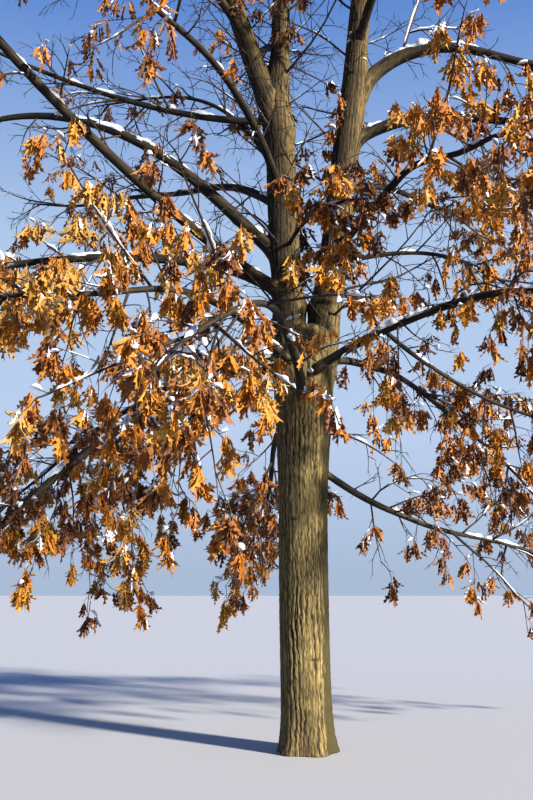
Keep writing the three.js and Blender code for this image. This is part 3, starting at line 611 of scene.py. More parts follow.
def leaf_template():
    """Corners (along, across) and triangles of a flat leaf."""
    corners = [(u, 0.0) for u in MIDRIB]
    faces = []
    for sign in (1, -1):
        notch = len(corners)
        corners += [(u, sign * v) for u, v in NOTCHES]
        lobe = len(corners)
        corners += [(u, sign * v) for u, v in LOBES]
        half = [(0, 1, notch), (1, 2, notch + 3)]
        for i in range(len(LOBES)):
            half += [(1, notch + i + 1, notch + i), (notch + i, notch + i + 1, lobe + i)]
        faces += [face if sign < 0 else face[::-1] for face in half]
    stalk = len(corners)
    corners += [(STALK[0], -STALK[1]), (STALK[0], STALK[1])]
    faces.append((stalk, 0, stalk + 1))
    return np.array(corners), np.array(faces)


def tufts_of(rows, fewest, most, first, index):
    """Leaves on the last part of each line, as rows with their tuft's key and their twig's number."""
    more = np.where(fullness[rows["mass"]] < BAREST, THIN_TUFT, np.maximum(fullness[rows["mass"]], 1))
    counts = np.floor(between(rows["key"], index, fewest, most) * more).astype(int)
    line, order = numbered(counts)
    key = mix(rows["key"][line], index + 1 + order)
    root, tangent = places_on(rows, line, between(key, 1, first, 1.0))
    roll = order * GOLDEN_ANGLE + between(key, 2, -LEAF_ROLL, LEAF_ROLL)
    out = side_heading(tangent, roll, between(key, 3, *LEAF_ANGLE), 1.0)
    return dict(root=root, out=out, key=key, tuft=rows["key"][line], twig=rows["parent"][line])


leafy_lets = keep(twiglets, twigs["leafy"][twiglets["parent"]])
leafy_twig_rows = np.flatnonzero(twigs["leafy"])
leafy_twigs = keep(twigs, leafy_twig_rows)
leafy_twigs["parent"] = leafy_twig_rows
leaf = together(tufts_of(leafy_lets, *TUFT_LEAVES, 100), tufts_of(leafy_twigs, *TIP_LEAVES, 140))
leaf["heading"] = unit(leaf["out"] * between(leaf["key"], 4, *LEAF_OUT)[:, None]
                       - UP * between(leaf["key"], 5, *LEAF_SINK)[:, None])
leaf["length"] = between(leaf["key"], 6, *LEAF_LENGTH)
leaf["length"] *= np.where(twigs["mass"][leaf["twig"]] == mass_names.index("foliage_front"), SMALL_LEAVES, 1)
anywhere = heading(between(leaf["key"], 7, 0, 360), np.degrees(np.arcsin(between(leaf["key"], 8, -1, 1))))
leaf["side"] = unit(np.cross(leaf["heading"], anywhere))
ends = leaf["root"] + leaf["heading"] * leaf["length"][:, None]
middles = (1 - LEAF_MIDDLE) * leaf["root"] + LEAF_MIDDLE * ends
inside = within_reach(np.stack([leaf["root"], ends], axis=1)) & ~in_the_way(middles)
for points in (leaf["root"], ends):
    inside &= clear_of_limbs(points, LEAF_CLEARANCE)
leaf = keep(leaf, inside)


def leaf_points(rows, corners):
    """Every corner of every leaf, (n, corners, 3): folded along the midrib, curled and twisted."""
    u = corners[:, 0][None]
    v = corners[:, 1][None] * between(rows["key"], 9, *LEAF_BREADTH)[:, None]
    curl = between(rows["key"], 10, *LEAF_CURL)[:, None]
    curl = np.where(np.abs(curl) < FLATTEST_CURL, FLATTEST_CURL, curl)
    fold = between(rows["key"], 11, *LEAF_FOLD)[:, None]
    twist = between(rows["key"], 12, -LEAF_TWIST, LEAF_TWIST)[:, None] * u
    along = np.sin(curl * u) / curl
    lift = (1 - np.cos(curl * u)) / curl
    ahead = rows["heading"][:, None]
    across = rows["side"][:, None]
    normal = np.cross(rows["side"], rows["heading"])[:, None]
    raised = normal * np.cos(curl * u)[..., None] - ahead * np.sin(curl * u)[..., None]
    side = across * np.cos(twist)[..., None] + raised * np.sin(twist)[..., None]
    up = raised * np.cos(twist)[..., None] - across * np.sin(twist)[..., None]
    flat = ahead * along[..., None] + normal * lift[..., None]
    blade = side * (v * np.cos(fold))[..., None] + up * (np.abs(v) * np.sin(fold))[..., None]
    stalk = rows["length"][:, None, None] * STALK[0]
    return rows["root"][:, None] - ahead * stalk + (flat + blade) * rows["length"][:, None, None]


# Bark
BARK_DEPTH = (0.0012, 0.052)  # height of the relief: a base figure and a share of the radius
BARK_CELL = (0.023, 0.105)  # width of a ridge, in the same way
BARK_STRETCH = 5.0  # the bark's pattern is this much longer than wide
FURROW = 0.19  # how far a furrow reaches into a ridge, in ridge widths
FURROW_SWAY = (0.60, 0.21, 0.24)  # how far it wanders to the side, in long bends, short bends and jags
FILLET = 1.5  # reach of the swelling where two limbs join, in radii of the thinner one
FORK_FILLET = 0.16
LEAD_IN = 0.5  # how far a fork's limb runs down inside its parent
# Old branch scars on the trunk: height, azimuth, width
SCARS = ((0.81, -72, 0.045), (1.52, 38, 0.04), (2.36, 163, 0.05), (2.05, -118, 0.035))
SCAR_HEIGHT = 0.010
# Noise that moves a furrow to the side: for each part its scale, the last figure along the limb
FURROW_BENDS = ((0.5, 0.5, 0.6), (0.9, 0.9, 1.8), (2.0, 2.0, 5.4))
# Scales of the noise in a furrow's width and depth, in the broad swell of the ridges and in their grain
WIDTH_NOISE, DEPTH_NOISE = (1.3, 1.3, 2.0), (0.9, 0.9, 0.7)
BROAD_NOISE, GRAIN_NOISE = (0.42, 0.42, 0.22), (5.0, 5.0, 9.0)
SHALLOWEST = 0.25
FLAKE_EDGE, FLAKE_DEPTH = 0.16, 0.3
ZERO_RELIEF = 0.75  # the height of the relief that lies on the limb's radius
CELL_SEEDS = np.array([73856093, 19349663, 83492791])


def cell_hash(cell, seed):
    """Three numbers from 0 to 1 for each integer cell, (n, 3)."""
    base = mix(np.bitwise_xor.reduce(cell * CELL_SEEDS, axis=-1) & WORD, seed).reshape(cell.shape[:-1])
    return np.stack([base & 1023, (base >> 10) & 1023, (base >> 20) & 1023], axis=-1) / 1023


def smooth_noise(p, seed):
    """Noise from -1 to 1, smooth between integer places."""
    cell = np.floor(p).astype(np.int64)
    t = p - cell
    t = t * t * (3 - 2 * t)
    total = np.zeros(len(p))
    for corner in np.ndindex(2, 2, 2):
        weight = np.prod(np.where(corner, t, 1 - t), axis=1)
        total += weight * cell_hash(cell + np.array(corner), seed)[:, 0]
    return 2 * total - 1


def cell_borders(u, v, around, seed):
    """How far off the border between two cells is.

    u counts the cells round a limb, which has a whole number of them, and v the cells along it.
    """
    place = np.stack([u, v], axis=1)
    cell = np.floor(place).astype(np.int64)
    near = np.full(len(place), 9.0)
    after = near.copy()
    for step in np.ndindex(3, 3):
        other = cell + np.array(step) - 1
        key = np.stack([other[:, 0] % around, other[:, 1], 0 * other[:, 0]], axis=1)
        gap = np.linalg.norm(other + cell_hash(key, seed)[:, :2] - place, axis=1)
        after = np.minimum(after, np.maximum(near, gap))
        near = np.minimum(near, gap)
    return 0.5 * (after - near)


def frames_along(points):
    """Tangents and two directions across them that turn as little as possible, for n lines."""
    tangents = unit(np.gradient(points, axis=1))
    across = np.cross(tangents[:, 0], UP)
    flat = np.linalg.norm(across, axis=1) < 0.02
    across[flat] = [1.0, 0.0, 0.0]
    first = np.zeros_like(points)
    for k in range(points.shape[1]):
        across = unit(across - tangents[:, k] * np.einsum("nk,nk->n", across, tangents[:, k])[:, None])
        first[:, k] = across
    return tangents, first, np.cross(first, tangents)


class Surface:
    """Corners and faces collected for one Blender mesh, with named numbers at each corner if given."""

    def __init__(self):
        self.corners, self.faces, self.count, self.numbers = [], {3: [], 4: []}, 0, {}

    def add(self, corners, *faces, **numbers):
        corners = corners.reshape(-1, 3)
        self.corners.append(corners)
        for name, values in numbers.items():
            self.numbers.setdefault(name, []).append(values)
        for part in faces:
            self.faces[part.shape[-1]].append(part.reshape(-1, part.shape[-1]) + self.count)
        self.count += len(corners)

    def build(self, name, material, smooth=True):
        mesh = bpy.data.meshes.new(name)
        corners = np.concatenate(self.corners)
        mesh.vertices.add(len(corners))
        mesh.vertices.foreach_set("co", corners.astype(np.float32).ravel())
        parts = [np.concatenate(self.faces[n]) for n in (3, 4) if self.faces[n]]
        sizes = np.concatenate([np.full(len(part), part.shape[1]) for part in parts])
        loops = np.concatenate([part.ravel() for part in parts])
        mesh.loops.add(len(loops))
        mesh.loops.foreach_set("vertex_index", loops.astype(np.int32))
        mesh.polygons.add(len(sizes))
        mesh.polygons.foreach_set("loop_start", (np.cumsum(sizes) - sizes).astype(np.int32))
        mesh.polygons.foreach_set("use_smooth", np.full(len(sizes), smooth))
        mesh.update(calc_edges=True)
        for label, values in self.numbers.items():
            values = np.concatenate(values).astype(np.float32)
            kind, field = ("FLOAT", "value") if values.ndim == 1 else ("FLOAT_VECTOR", "vector")
            mesh.attributes.new(label, kind, "POINT").data.foreach_set(field, values.ravel())
        mesh.materials.append(material)
        piece = bpy.data.objects.new(name, mesh)
        bpy.context.scene.collection.objects.link(piece)
        print(f"{name}: {int((sizes - 2).sum())} triangles")
        return piece


def ring_faces(rings, sides):
    """Quads between the rings of a tube."""
    ring, side = np.meshgrid(np.arange(rings - 1), np.arange(sides), indexing="ij")
    after = (side + 1) % sides
    return np.stack([ring * sides + side, (ring + 1) * sides + side, (ring + 1) * sides + after,
                     ring * sides + after], axis=-1).reshape(-1, 4)


def closed_faces(rings, sides):
    """The quads of a tube, and the triangles that close it at two corners which follow its rings."""
    side = np.arange(sides)
    after = (side + 1) % sides
    count = rings * sides
    foot = np.stack([0 * side + count, side, after], axis=-1)
    crown = np.stack([0 * side + count + 1, count - sides + after, count - sides + side], axis=-1)
    return ring_faces(rings, sides), foot, crown


def add_tubes(surface, points, radii, sides):
    """Tubes of n lines, each closed by a point at its far end and by a flat base."""
    lines, rings = points.shape[:2]
    _, first, second = frames_along(points)
    angle = 2 * np.pi * np.arange(sides) / sides
    ring = first[:, :, None] * np.cos(angle)[:, None] + second[:, :, None] * np.sin(angle)[:, None]
    corners = points[:, :, None] + ring * radii[:, :, None, None]
    body = corners[:, :-1].reshape(lines, -1, 3)
    corners = np.concatenate([body, points[:, -1:]], axis=1)
    count = (rings - 1) * sides
    start = (np.arange(lines) * (count + 1))[:, None, None]
    quads = ring_faces(rings - 1, sides)[None] + start
    side = np.arange(sides)
    last = np.stack([count - sides + (side + 1) % sides, count - sides + side, 0 * side + count], axis=-1)
    base = np.stack([0 * side[2:], side[1:-1], side[2:]], axis=-1)
    surface.add(corners, quads, last[None] + start, base[None] + start)


def fine_line(limb, spacing, last=1.0):
    """Points evenly along a limb on a smooth curve, as far as a share, with the share at each."""
    steps = np.diff(limb.points, axis=0)
    size = np.linalg.norm(steps, axis=1)
    run = np.concatenate([[0], np.cumsum(size)])
    place = np.linspace(0, run[-1] * last, max(8, int(run[-1] * last / spacing)))
    i = np.clip(np.searchsorted(run, place, side="right") - 1, 0, len(size) - 1)
    t = ((place - run[i]) / size[i])[:, None]
    a, b = limb.points[i], limb.points[i + 1]
    ta, tb = limb.tangents[i] * size[i][:, None], limb.tangents[i + 1] * size[i][:, None]
    points = (a * (2 * t**3 - 3 * t**2 + 1) + ta * (t**3 - 2 * t**2 + t)
              + b * (3 * t**2 - 2 * t**3) + tb * (t**3 - t**2))
    return points, limb.shares[i] + t[:, 0] * (limb.shares[i + 1] - limb.shares[i])


def swelling(points, girth, neighbours):
    """How far a limb's skin stands out near the limbs that it joins, and its girth blended with theirs."""
    out = np.zeros(len(points))
    for limb, reach in neighbours:
        distance, share = limb.distance(points)
        thick = limb.plain_radius_at(share)
        near = np.clip(1 - np.abs(distance - thick) / reach, 0, 1)
        out = np.maximum(out, 0.25 * reach * near**2)
        girth = np.maximum(girth, near * thick)
    return out, girth


def relief(turn, q, around, seed):
    """How high the bark stands, 0 in a furrow and 1 on a ridge.

    turn is the share of a turn round the limb, and q the place in ridge widths. Two families of long
    furrows wander across each other, and the ridges between them are flaked.
    """
    furrows = 0 * turn
    for start, key in ((0.0, seed), (0.5, seed + 50)):
        sway = (smooth_noise(q * scale, key + n) * size
                for n, (scale, size) in enumerate(zip(FURROW_BENDS, FURROW_SWAY)))
        place = turn * around + start + sum(sway)
        reach = FURROW * (1 + 0.5 * smooth_noise(q * WIDTH_NOISE, key + 4))
        deep = smoothstep(smooth_noise(q * DEPTH_NOISE, key + 5), -0.5, 0.5)
        deep = SHALLOWEST + (1 - SHALLOWEST) * deep
        away = np.abs(place - np.round(place)) / reach
        furrows = np.maximum(furrows, deep * (1 - smoothstep(away, 0.0, 1.0)))
    u = 2 * turn * around + 0.6 * smooth_noise(q, seed + 7)
    flakes = 1 - smoothstep(cell_borders(u, 1.6 * q[:, 2], 2 * around, seed + 8), 0.0, FLAKE_EDGE)
    broad = smooth_noise(q * BROAD_NOISE, seed + 31)
    return (1 - furrows) * (1 - FLAKE_DEPTH * flakes) * (0.90 + 0.10 * broad)


def add_bark(surface, points, radii, outline, sides, neighbours, seed, cell, depth, scars=()):
    """A limb's skin: rings round its centre line, swollen at the joints and furrowed by its relief."""
    _, first, second = frames_along(points[None])
    first, second = first[0], second[0]
    angle = 2 * np.pi * np.arange(sides) / sides
    out = first[:, None] * np.cos(angle)[:, None] + second[:, None] * np.sin(angle)[:, None]
    x, y = outline(radii, angle)
    skin = points[:, None] + first[:, None] * x[..., None] + second[:, None] * y[..., None]
    run = np.concatenate([[0], np.cumsum(np.linalg.norm(np.diff(points, axis=0), axis=1))])
    grain = np.stack([x, y, np.repeat(run[:, None], sides, axis=1) / BARK_STRETCH], axis=-1).reshape(-1, 3)
    around = max(6, int(2 * np.pi * float(np.percentile(np.hypot(x, y), 75)) / cell + 0.5))
    turn = np.tile(angle, len(points)) / (2 * np.pi)
    height = relief(turn, grain / cell + 17.3 * (seed % 29), around, seed)
    for level, azimuth, width in scars:
        turned = np.abs((np.degrees(np.arctan2(skin[..., 1], skin[..., 0])) - azimuth + 180) % 360 - 180)
        away = np.hypot(np.radians(turned) * TRUNK_RADIUS / width, (skin[..., 2] - level) / SCAR_HEIGHT)
        height = height * (1 - 0.95 * np.exp(-away.ravel() ** 2))
    fine = smooth_noise(grain / cell * GRAIN_NOISE, seed + 7)
    swollen, girth = swelling(skin.reshape(-1, 3), np.hypot(x, y).ravel(), neighbours)
    lift = swollen + np.repeat(depth, sides) * (height - ZERO_RELIEF + 0.08 * fine)
    skin = skin + out * lift.reshape(x.shape)[..., None]
    skin[..., 2] = np.maximum(skin[..., 2], 0)
    with_ends = {name: np.concatenate([values, values[:1], values[-1:]])
                 for name, values in (("grain", grain), ("girth", girth))}
    surface.add(np.concatenate([skin.reshape(-1, 3), points[:1], points[-1:]]),
                *closed_faces(len(points), sides), relief=np.concatenate([height, [0.5, 0.5]]), **with_ends)


def round_outline(radii, angle):
    return radii[:, None] * np.cos(angle), radii[:, None] * np.sin(angle)


def neighbours_of(names):
    """The limbs that join those named, with the reach of the swelling."""
    found = []
    for child, parent in parents.items():
        if (child in names) != (parent in names):
            thin = float(everything[child].radius_at(0.3))
            reach = FORK_FILLET if child.startswith("leader") else FILLET * thin
            found.append((everything[parent if child in names else child], reach))
    return found


bark_trunk, bark_leaders, bark_boughs, bark_twigs, fine_twigs, snow = (Surface() for _ in range(6))

TRUNK_SIDES, LEADER_SIDES, BOUGH_SIDES, STEM_SIDES = 184, 96, 20, 14
TRUNK_RINGS = 254
DOME_HEIGHT = 0.10  # of the trunk's end inside the fork
# How far apart the rings are: on leaders, boughs and side stems, and on the stems that carry the first two on
LEADER_STEP, BOUGH_STEP, STEM_STEP, LEADER_STEM_STEP, BOUGH_STEM_STEP = 0.032, 0.042, 0.055, 0.08, 0.07
STEP_GROWTH = 0.006  # from one leader of a chain to the next
EVENING = (40, 90)  # passes that even out a fork's line and its radii
heights = np.linspace(0, FORK_HEIGHT, TRUNK_RINGS)
centres = np.stack([-TRUNK_BEND * np.sin(np.pi * heights / FORK_HEIGHT), 0 * heights, heights], axis=1)
dome = np.linspace(0, 0.5 * np.pi, 9)[1:]
centres = np.concatenate([centres, centres[-1] + UP * (DOME_HEIGHT * np.sin(dome))[:, None]])
scales = np.concatenate([np.ones(TRUNK_RINGS), np.maximum(np.cos(dome), 0.02)])


def trunk_shape(radii, angle):
    x, y = trunk_outline(np.minimum(centres[:, 2], FORK_HEIGHT)[:, None], angle[None])
    return x * radii[:, None], y * radii[:, None]


def bark_numbers(base):
    return BARK_CELL[0] + BARK_CELL[1] * base, BARK_DEPTH[0] + BARK_DEPTH[1] * base


cell, depth = bark_numbers(TRUNK_RADIUS)
add_bark(bark_trunk, centres, scales, trunk_shape, TRUNK_SIDES, neighbours_of({"trunk"}), 11, cell,
         depth * np.minimum(1, 0.4 + 4 * centres[:, 2]), SCARS)


def smoothed(values, passes):
    """Evens out the bends of a line, whose two ends stay."""
    values = values.copy()
    for _ in range(passes):
        values[1:-1] += 0.25 * (values[2:] - 2 * values[1:-1] + values[:-2])
    return values


def add_limb(surface, parts, sides, seed, forked=False):
    """Limbs that carry each other on, each as far as a share and with its rings' spacing, as one skin."""
    points, radii = [], []
    for n, (limb, last, spacing) in enumerate(parts):
        line, share = fine_line(limb, spacing, last)
        thick = limb.plain_radius_at(share) if forked or n else limb.radius_at(share)
        points.append(line[1:] if n else line)
        radii.append(np.asarray(thick)[1:] if n else np.asarray(thick))
    points, radii = np.concatenate(points), np.concatenate(radii)
    if forked:
        parent = everything[parents[parts[0][0].name]]
        if parent.name == "trunk":
            start = points[0] * [0.3, 0.3, 1.0] - UP * LEAD_IN
        else:
            start = parent.at(parent.distance(points[:1])[1] - LEAD_IN / parent.length)[0][0]
        along = np.linspace(0, 1, int(LEAD_IN / parts[0][2]))[:-1, None]
        points = smoothed(np.concatenate([start + (points[0] - start) * along, points]), EVENING[0])
        radii = smoothed(np.concatenate([radii[0] * (0.4 + 0.6 * along[:, 0]), radii]), EVENING[1])
    radii = np.maximum(radii, 0.004)
    radii[-6:] *= np.linspace(1, 0.35, 6)
    cell, depth = bark_numbers(float(np.percentile(radii, 75)))
    depth = np.minimum(depth, 0.09 * radii)
    joined = neighbours_of({part[0].name for part in parts})
    add_bark(surface, points, radii, round_outline, sides, joined, seed, cell, depth)


goes_on = {row[1]: everything[row[0]] for row in TIP_MASSES}
CHAINS = (  # leaders that carry each other on, with the share at which each is left
    (("leader_left", 0.92), ("leader_left_inner", 1.0)),
    (("leader_right", 0.93), ("leader_right_upper", 1.0)),
    (("leader_left_outer", 1.0),),
)
for i, chain in enumerate(CHAINS):
    parts = [(limbs[name], last, LEADER_STEP + STEP_GROWTH * n) for n, (name, last) in enumerate(chain)]
    parts.append((goes_on[chain[-1][0]], 1.0, LEADER_STEM_STEP))
    add_limb(bark_leaders, parts, LEADER_SIDES, 60 + i, True)
for i, bough in enumerate(boughs):
    parts = [(bough, 1.0, BOUGH_STEP), (goes_on[bough.name], 1.0, BOUGH_STEM_STEP)]
    add_limb(bark_boughs, parts, BOUGH_SIDES, 100 + i, bough.name == "bough_arch_right")
for i, row in enumerate(SIDE_MASSES):
    add_limb(bark_boughs, [(everything[row[0]], 1.0, STEM_STEP)], STEM_SIDES, 140 + i)

shares = np.linspace(0, 1, BRANCH_STEPS + 1)
add_tubes(bark_twigs, on_lines(branches["points"], np.repeat(shares[None], len(branches["key"]), axis=0)),
          np.maximum(THINNEST_BRANCH, branches["radius"][:, None] * (1 - shares) ** SHOOT_TAPER), 5)
for rows, narrowing in ((twigs, 0.55), (twiglets, 0.5)):
    shares = np.linspace(0, 1, rows["points"].shape[1])
    add_tubes(fine_twigs, rows["points"], rows["radius"][:, None] * (1 - narrowing * shares), 3)

# A twig, each of its tufts and each leaf move the draw of the leaf's tint, the first two the most.
TINT_SPREAD = (0.56, 0.44, 0.22)
TINTS = {  # name: colour, the record's slot, where its part of the draw ends
    "tan": (0xAC854A, "leaves_golden", 0.22),
    "golden": (0xAE7E34, "leaves_golden", 0.39),
    "orange": (0xAF752D, "leaves_orange", 0.57),
    "rust": (0x9F672F, "leaves_rust", 0.73),
    "chestnut": (0x8A5A32, "leaves_brown", 0.88),
    "brown": (0x694731, "leaves_brown", 9.0),
}
MASS_SLOTS = ("leaves_orange", "leaves_rust", "leaves_golden", "leaves_brown")

# Snow: whole bands on three boughs, lumps in some forks, short ridges and caps elsewhere
SNOW_SPANS = {
    "bough_arch_right": (0.3, 0.99), "bough_right_low": (0.25, 0.97), "bough_left_high": (0.3, 0.97),
    "foliage_arch_right": (0.01, 0.45), "foliage_right_low": (0.03, 0.35),
}
SNOW_LUMPS = (  # limb, and where each lump begins and ends on it
    ("leader_left_outer", 0.090, 0.135), ("bough_left_high", 0.07, 0.15), ("bough_left_low", 0.30, 0.80),
    ("bough_left_cross", 0.10, 0.15), ("bough_arch_right", 0.09, 0.29), ("bough_right_mid", 0.16, 0.30),
    ("bough_front_left", 0.2, 0.5), ("bough_back_upper", 0.15, 0.3), ("bough_back_right", 0.2, 0.4),
)
SNOW_SIDES = 6
# Lumpiness: how close together the lumps are, how large, how pointed the ends, and the share left at gaps
EVEN_LUMPS = (15.0, 0.40, 0.5, 0.3)
CAP_LUMPS = (44.0, 0.70, 0.75, 0.3)
PATCH_LUMPS = (34.0, 0.70, 0.85, 0.3)
# Snow on limbs: half its width and the height of its edges, in radii, and its lumpiness
LUMPS = (0.84, 0.38, EVEN_LUMPS)
BAND = (1.04, 0.16, (15.0, 0.34, 0.5, 0.72))
SNOW_NOISE = (1.0, 1.8, 0.51)  # scales of the lumps in its width and height, and of its gaps
SNOW_GAPS = (-0.7, 0.0)
SNOW_LEAN, SNOW_BELLY = 0.18, 0.12  # how far it leans to a side and reaches down, in half widths
LIMB_SNOW_THICKNESS = (0.010, 0.024, 0.24)  # least and most, and a share of the radius
LIMB_SNOW_SPACING = 0.42
BAND_RINGS = 60
LUMP_RINGS = 7
SNOWY_STRETCHES = 0.72  # share of the stretches of limbs with snow
SNOWY_BRANCHES = 0.62
SNOWY_TWIGS = 0.16
TUFT_SNOW = (0.50, 0.19)  # share of the tufts below LOW_TUFTS with a cap, and of the rest
LOW_TUFTS = 2.9
LEAF_SNOW = (0.17, 0.34)  # leaves that face up at least this much, and the share of them with snow
LEAF_SNOW_SIZE = (0.80, 1.0)  # of the leaf's length and breadth
LEAF_SNOW_DEPTH = (0.024, 0.005)  # along the midrib and at the edges
SPRAY_SNOW = 0.50  # share of the leafy branches that carry a thick patch
# Half widths, least and most, and the height in half widths, with its base, of patches on sprays and of caps
SPRAY_CAPS = ((0.013, 0.032), (0.8, 0.012))
TWIG_CAPS = ((0.007, 0.018), (0.6, 0.006))
TUFT_CAPS = ((0.010, 0.026), (0.45, 0.022))
TUFT_CAP_FOOT = 0.008
STEEPEST_SNOW = 0.86  # upward part of a limb's heading past which no snow lies on it
LEDGES = (  # snow caught on steep limbs: limb, share, azimuth, spread in degrees, half width
    ("leader_left_inner", 0.030, 215, 46, 0.024), ("leader_left_inner", 0.050, 232, 30, 0.017),
    ("leader_left_outer", 0.075, 322, 40, 0.020), ("leader_left_outer", 0.155, 10, 26, 0.013),
    ("leader_right_upper", 0.125, 330, 55, 0.024), ("leader_right_upper", 0.180, 212, 26, 0.016),
    ("leader_right_upper", 0.205, 222, 22, 0.013), ("leader_right", 0.42, 250, 20, 0.012),
    ("leader_right", 0.90, 20, 40, 0.018), ("leader_left", 0.86, 95, 36, 0.018),
)


def add_snow(points, half_width, low, high, seed, lumpiness=EVEN_LUMPS):
    """Ridges of snow along n lines, (n, k, 3), from low to high over the line, with rounded ends."""
    close, uneven, pointed, thinnest = lumpiness
    rings = points.shape[1]
    tangents = unit(np.gradient(points, axis=1))
    side = unit(np.cross(tangents, UP))
    upward = np.cross(side, tangents)
    closing = np.sin(np.pi * (np.arange(rings) + 0.35) / (rings - 0.3)) ** pointed
    flat = points.reshape(-1, 3) * close
    lumps, swell, gaps = (smooth_noise(flat * scale, seed + n).reshape(len(points), rings)
                          for n, scale in enumerate(SNOW_NOISE))
    broken = thinnest + (1 - thinnest) * smoothstep(gaps, *SNOW_GAPS)
    half_width = half_width * closing * (1 + uneven * lumps) * broken
    top = low + (high - low) * closing * (1 + 1.25 * uneven * swell) * broken
    angle = 2 * np.pi * np.arange(SNOW_SIDES) / SNOW_SIDES
    x = half_width[..., None] * (np.cos(angle) + SNOW_LEAN * swell[..., None])
    y = (top - low)[..., None] * np.maximum(np.sin(angle), 0)
    y = low[..., None] + y + (half_width * SNOW_BELLY)[..., None] * np.minimum(np.sin(angle), 0)
    ring = points[:, :, None] + side[:, :, None] * x[..., None] + upward[:, :, None] * y[..., None]
    ends = np.stack([ring[:, 0].mean(axis=1), ring[:, -1].mean(axis=1)], axis=1)
    corners = np.concatenate([ring.reshape(len(points), -1, 3), ends], axis=1)
    start = (np.arange(len(points)) * corners.shape[1])[:, None, None]
    snow.add(corners, *(part[None, :, ::-1] + start for part in closed_faces(rings, SNOW_SIDES)))


def stretches(rows, first, last, rings):
    """A stretch of each line between two shares, and whether the line is level enough there."""
    share = first[:, None] + (last - first)[:, None] * np.linspace(0, 1, rings)
    points, tangents = places_on(rows, slice(None), share)
    return points, share, np.abs(tangents[..., 2]).max(axis=1) < STEEPEST_SNOW


def snow_on(limb, begin, end, rings, chosen, key, kind=LUMPS):
    """Snow on the upper side of a limb, on the stretches that are chosen."""
    wide, over, lumpiness = kind
    begin, end, chosen = np.atleast_1d(begin, end, chosen)
    points, share, lies = stretches(rows_of([limb] * len(begin)), begin, end, rings)
    lies = chosen if rings == LUMP_RINGS else lies & chosen
    radii = np.asarray(limb.radius_at(share))
    least, most, of_radius = LIMB_SNOW_THICKNESS
    thick = between(key, 4, least, most)[:, None] + of_radius * radii
    if lies.any():
        add_snow(points[lies], (wide * radii + 0.004)[lies], (over * radii)[lies], (radii + thick)[lies], 31,
                 lumpiness)


def snow_caps(rows, begin, end, rings, chosen, index, width, high, seed, lumpiness=CAP_LUMPS, low=0.0):
    """Snow on a stretch of each line that is chosen, high by a share of its own width and a base."""
    points, _, lies = stretches(rows, begin, end, rings)
    lies &= chosen
    half = np.repeat(between(rows["key"], index, *width)[:, None], rings, axis=1)[lies]
    add_snow(points[lies], half, 0 * half + low, half * high[0] + high[1], seed, lumpiness)


for limb in boughs + stems:
    if limb.name in SNOW_SPANS:
        snow_on(limb, *SNOW_SPANS[limb.name], BAND_RINGS, True, limb.key, BAND)
        continue
    count = max(2, int(limb.length / LIMB_SNOW_SPACING))
    key = mix(limb.key, 700 + np.arange(count))
    begin = (np.arange(count) + between(key, 1, 0.0, 0.35)) / count
    end = np.minimum(begin + between(key, 2, 0.35, 1.0) / count, 0.97)
    snow_on(limb, begin, end, 8, (chance(key, 3) < SNOWY_STRETCHES) & (begin > 0.10), key)
for limb, row in zip(placed, PLACED):
    if not row[-1]:
        share = np.linspace(0.0, 0.85, 22)[None]
        radii = np.asarray(limb.radius_at(share))
        add_snow(on_lines(limb.points[None], share), 1.1 * radii + 0.010, 0.2 * radii, radii + 0.022, 33)
for n, (name, begin, end) in enumerate(SNOW_LUMPS):
    snow_on(everything[name], begin, end, LUMP_RINGS, True, SNOW_KEYS + n)

key = branches["key"]
begin = between(key, 20, 0.03, 0.5)
points, share, lies = stretches(branches, begin, np.minimum(begin + between(key, 21, 0.15, 0.45), 0.96), 8)
lies &= chance(key, 22) < SNOWY_BRANCHES
radii = np.maximum(0.0022, branches["radius"][:, None] * (1 - share) ** SHOOT_TAPER)[lies]
add_snow(points[lies], 0.85 * radii + 0.0025, 0.4 * radii, radii + 0.006, 41)
for index, low, high in ((24, 0.14, 0.48), (30, 0.56, 0.84)):  # thick patches on the sprays
    begin = between(key, index, low, high)
    chosen = chance(key, index + 2) < SPRAY_SNOW * np.minimum(fullness[branches["mass"]], 1)
    snow_caps(branches, begin, np.minimum(begin + between(key, index + 1, 0.14, 0.32), 0.98), 10,
              branches["leafy"] & chosen, index + 3, *SPRAY_CAPS, index, PATCH_LUMPS)
key = twigs["key"]
begin = between(key, 20, 0.15, 0.62)
snow_caps(twigs, begin, begin + between(key, 21, 0.18, 0.36), 6,
          twigs["leafy"] & (chance(key, 22) < SNOWY_TWIGS), 23, *TWIG_CAPS, 47)
key = twiglets["key"]  # caps on the tufts of leaves
begin = between(key, 20, 0.0, 0.45)
capped = chance(key, 22) < np.where(on_lines(twiglets["points"], begin)[:, 2] < LOW_TUFTS, *TUFT_SNOW)
snow_caps(twiglets, begin, between(key, 21, 0.75, 1.0), 4, twigs["leafy"][twiglets["parent"]] & capped,
          23, *TUFT_CAPS, 48, low=TUFT_CAP_FOOT)

# Snow in the folds of some leaves, over the part next to the stalk
upward = np.cross(leaf["side"], leaf["heading"])
snowy = keep(leaf, (upward[:, 2] > LEAF_SNOW[0]) & (chance(leaf["key"], 60) < LEAF_SNOW[1]))
corners, faces = leaf_template()
corners = corners[:-2] * LEAF_SNOW_SIZE
depth = np.where(corners[:, 1] == 0, *LEAF_SNOW_DEPTH)[None, :, None]
points = leaf_points(snowy, corners) + np.cross(snowy["side"], snowy["heading"])[:, None] * depth
snow.add(points, faces[None, :-1] + (np.arange(len(points)) * len(corners))[:, None, None])

for n, (name, share, azimuth, spread, half) in enumerate(LEDGES):
    limb = everything[name]
    around = np.radians(azimuth + spread * np.linspace(-0.5, 0.5, 6))[None]
    out = np.stack([np.cos(around), np.sin(around), 0 * around], axis=-1)
    half = np.full(around.shape, half)
    skin = limb.at(share)[0][:, None] + out * float(limb.plain_radius_at(share))
    add_snow(skin, half, 0 * half, half * 1.1, 60 + n)

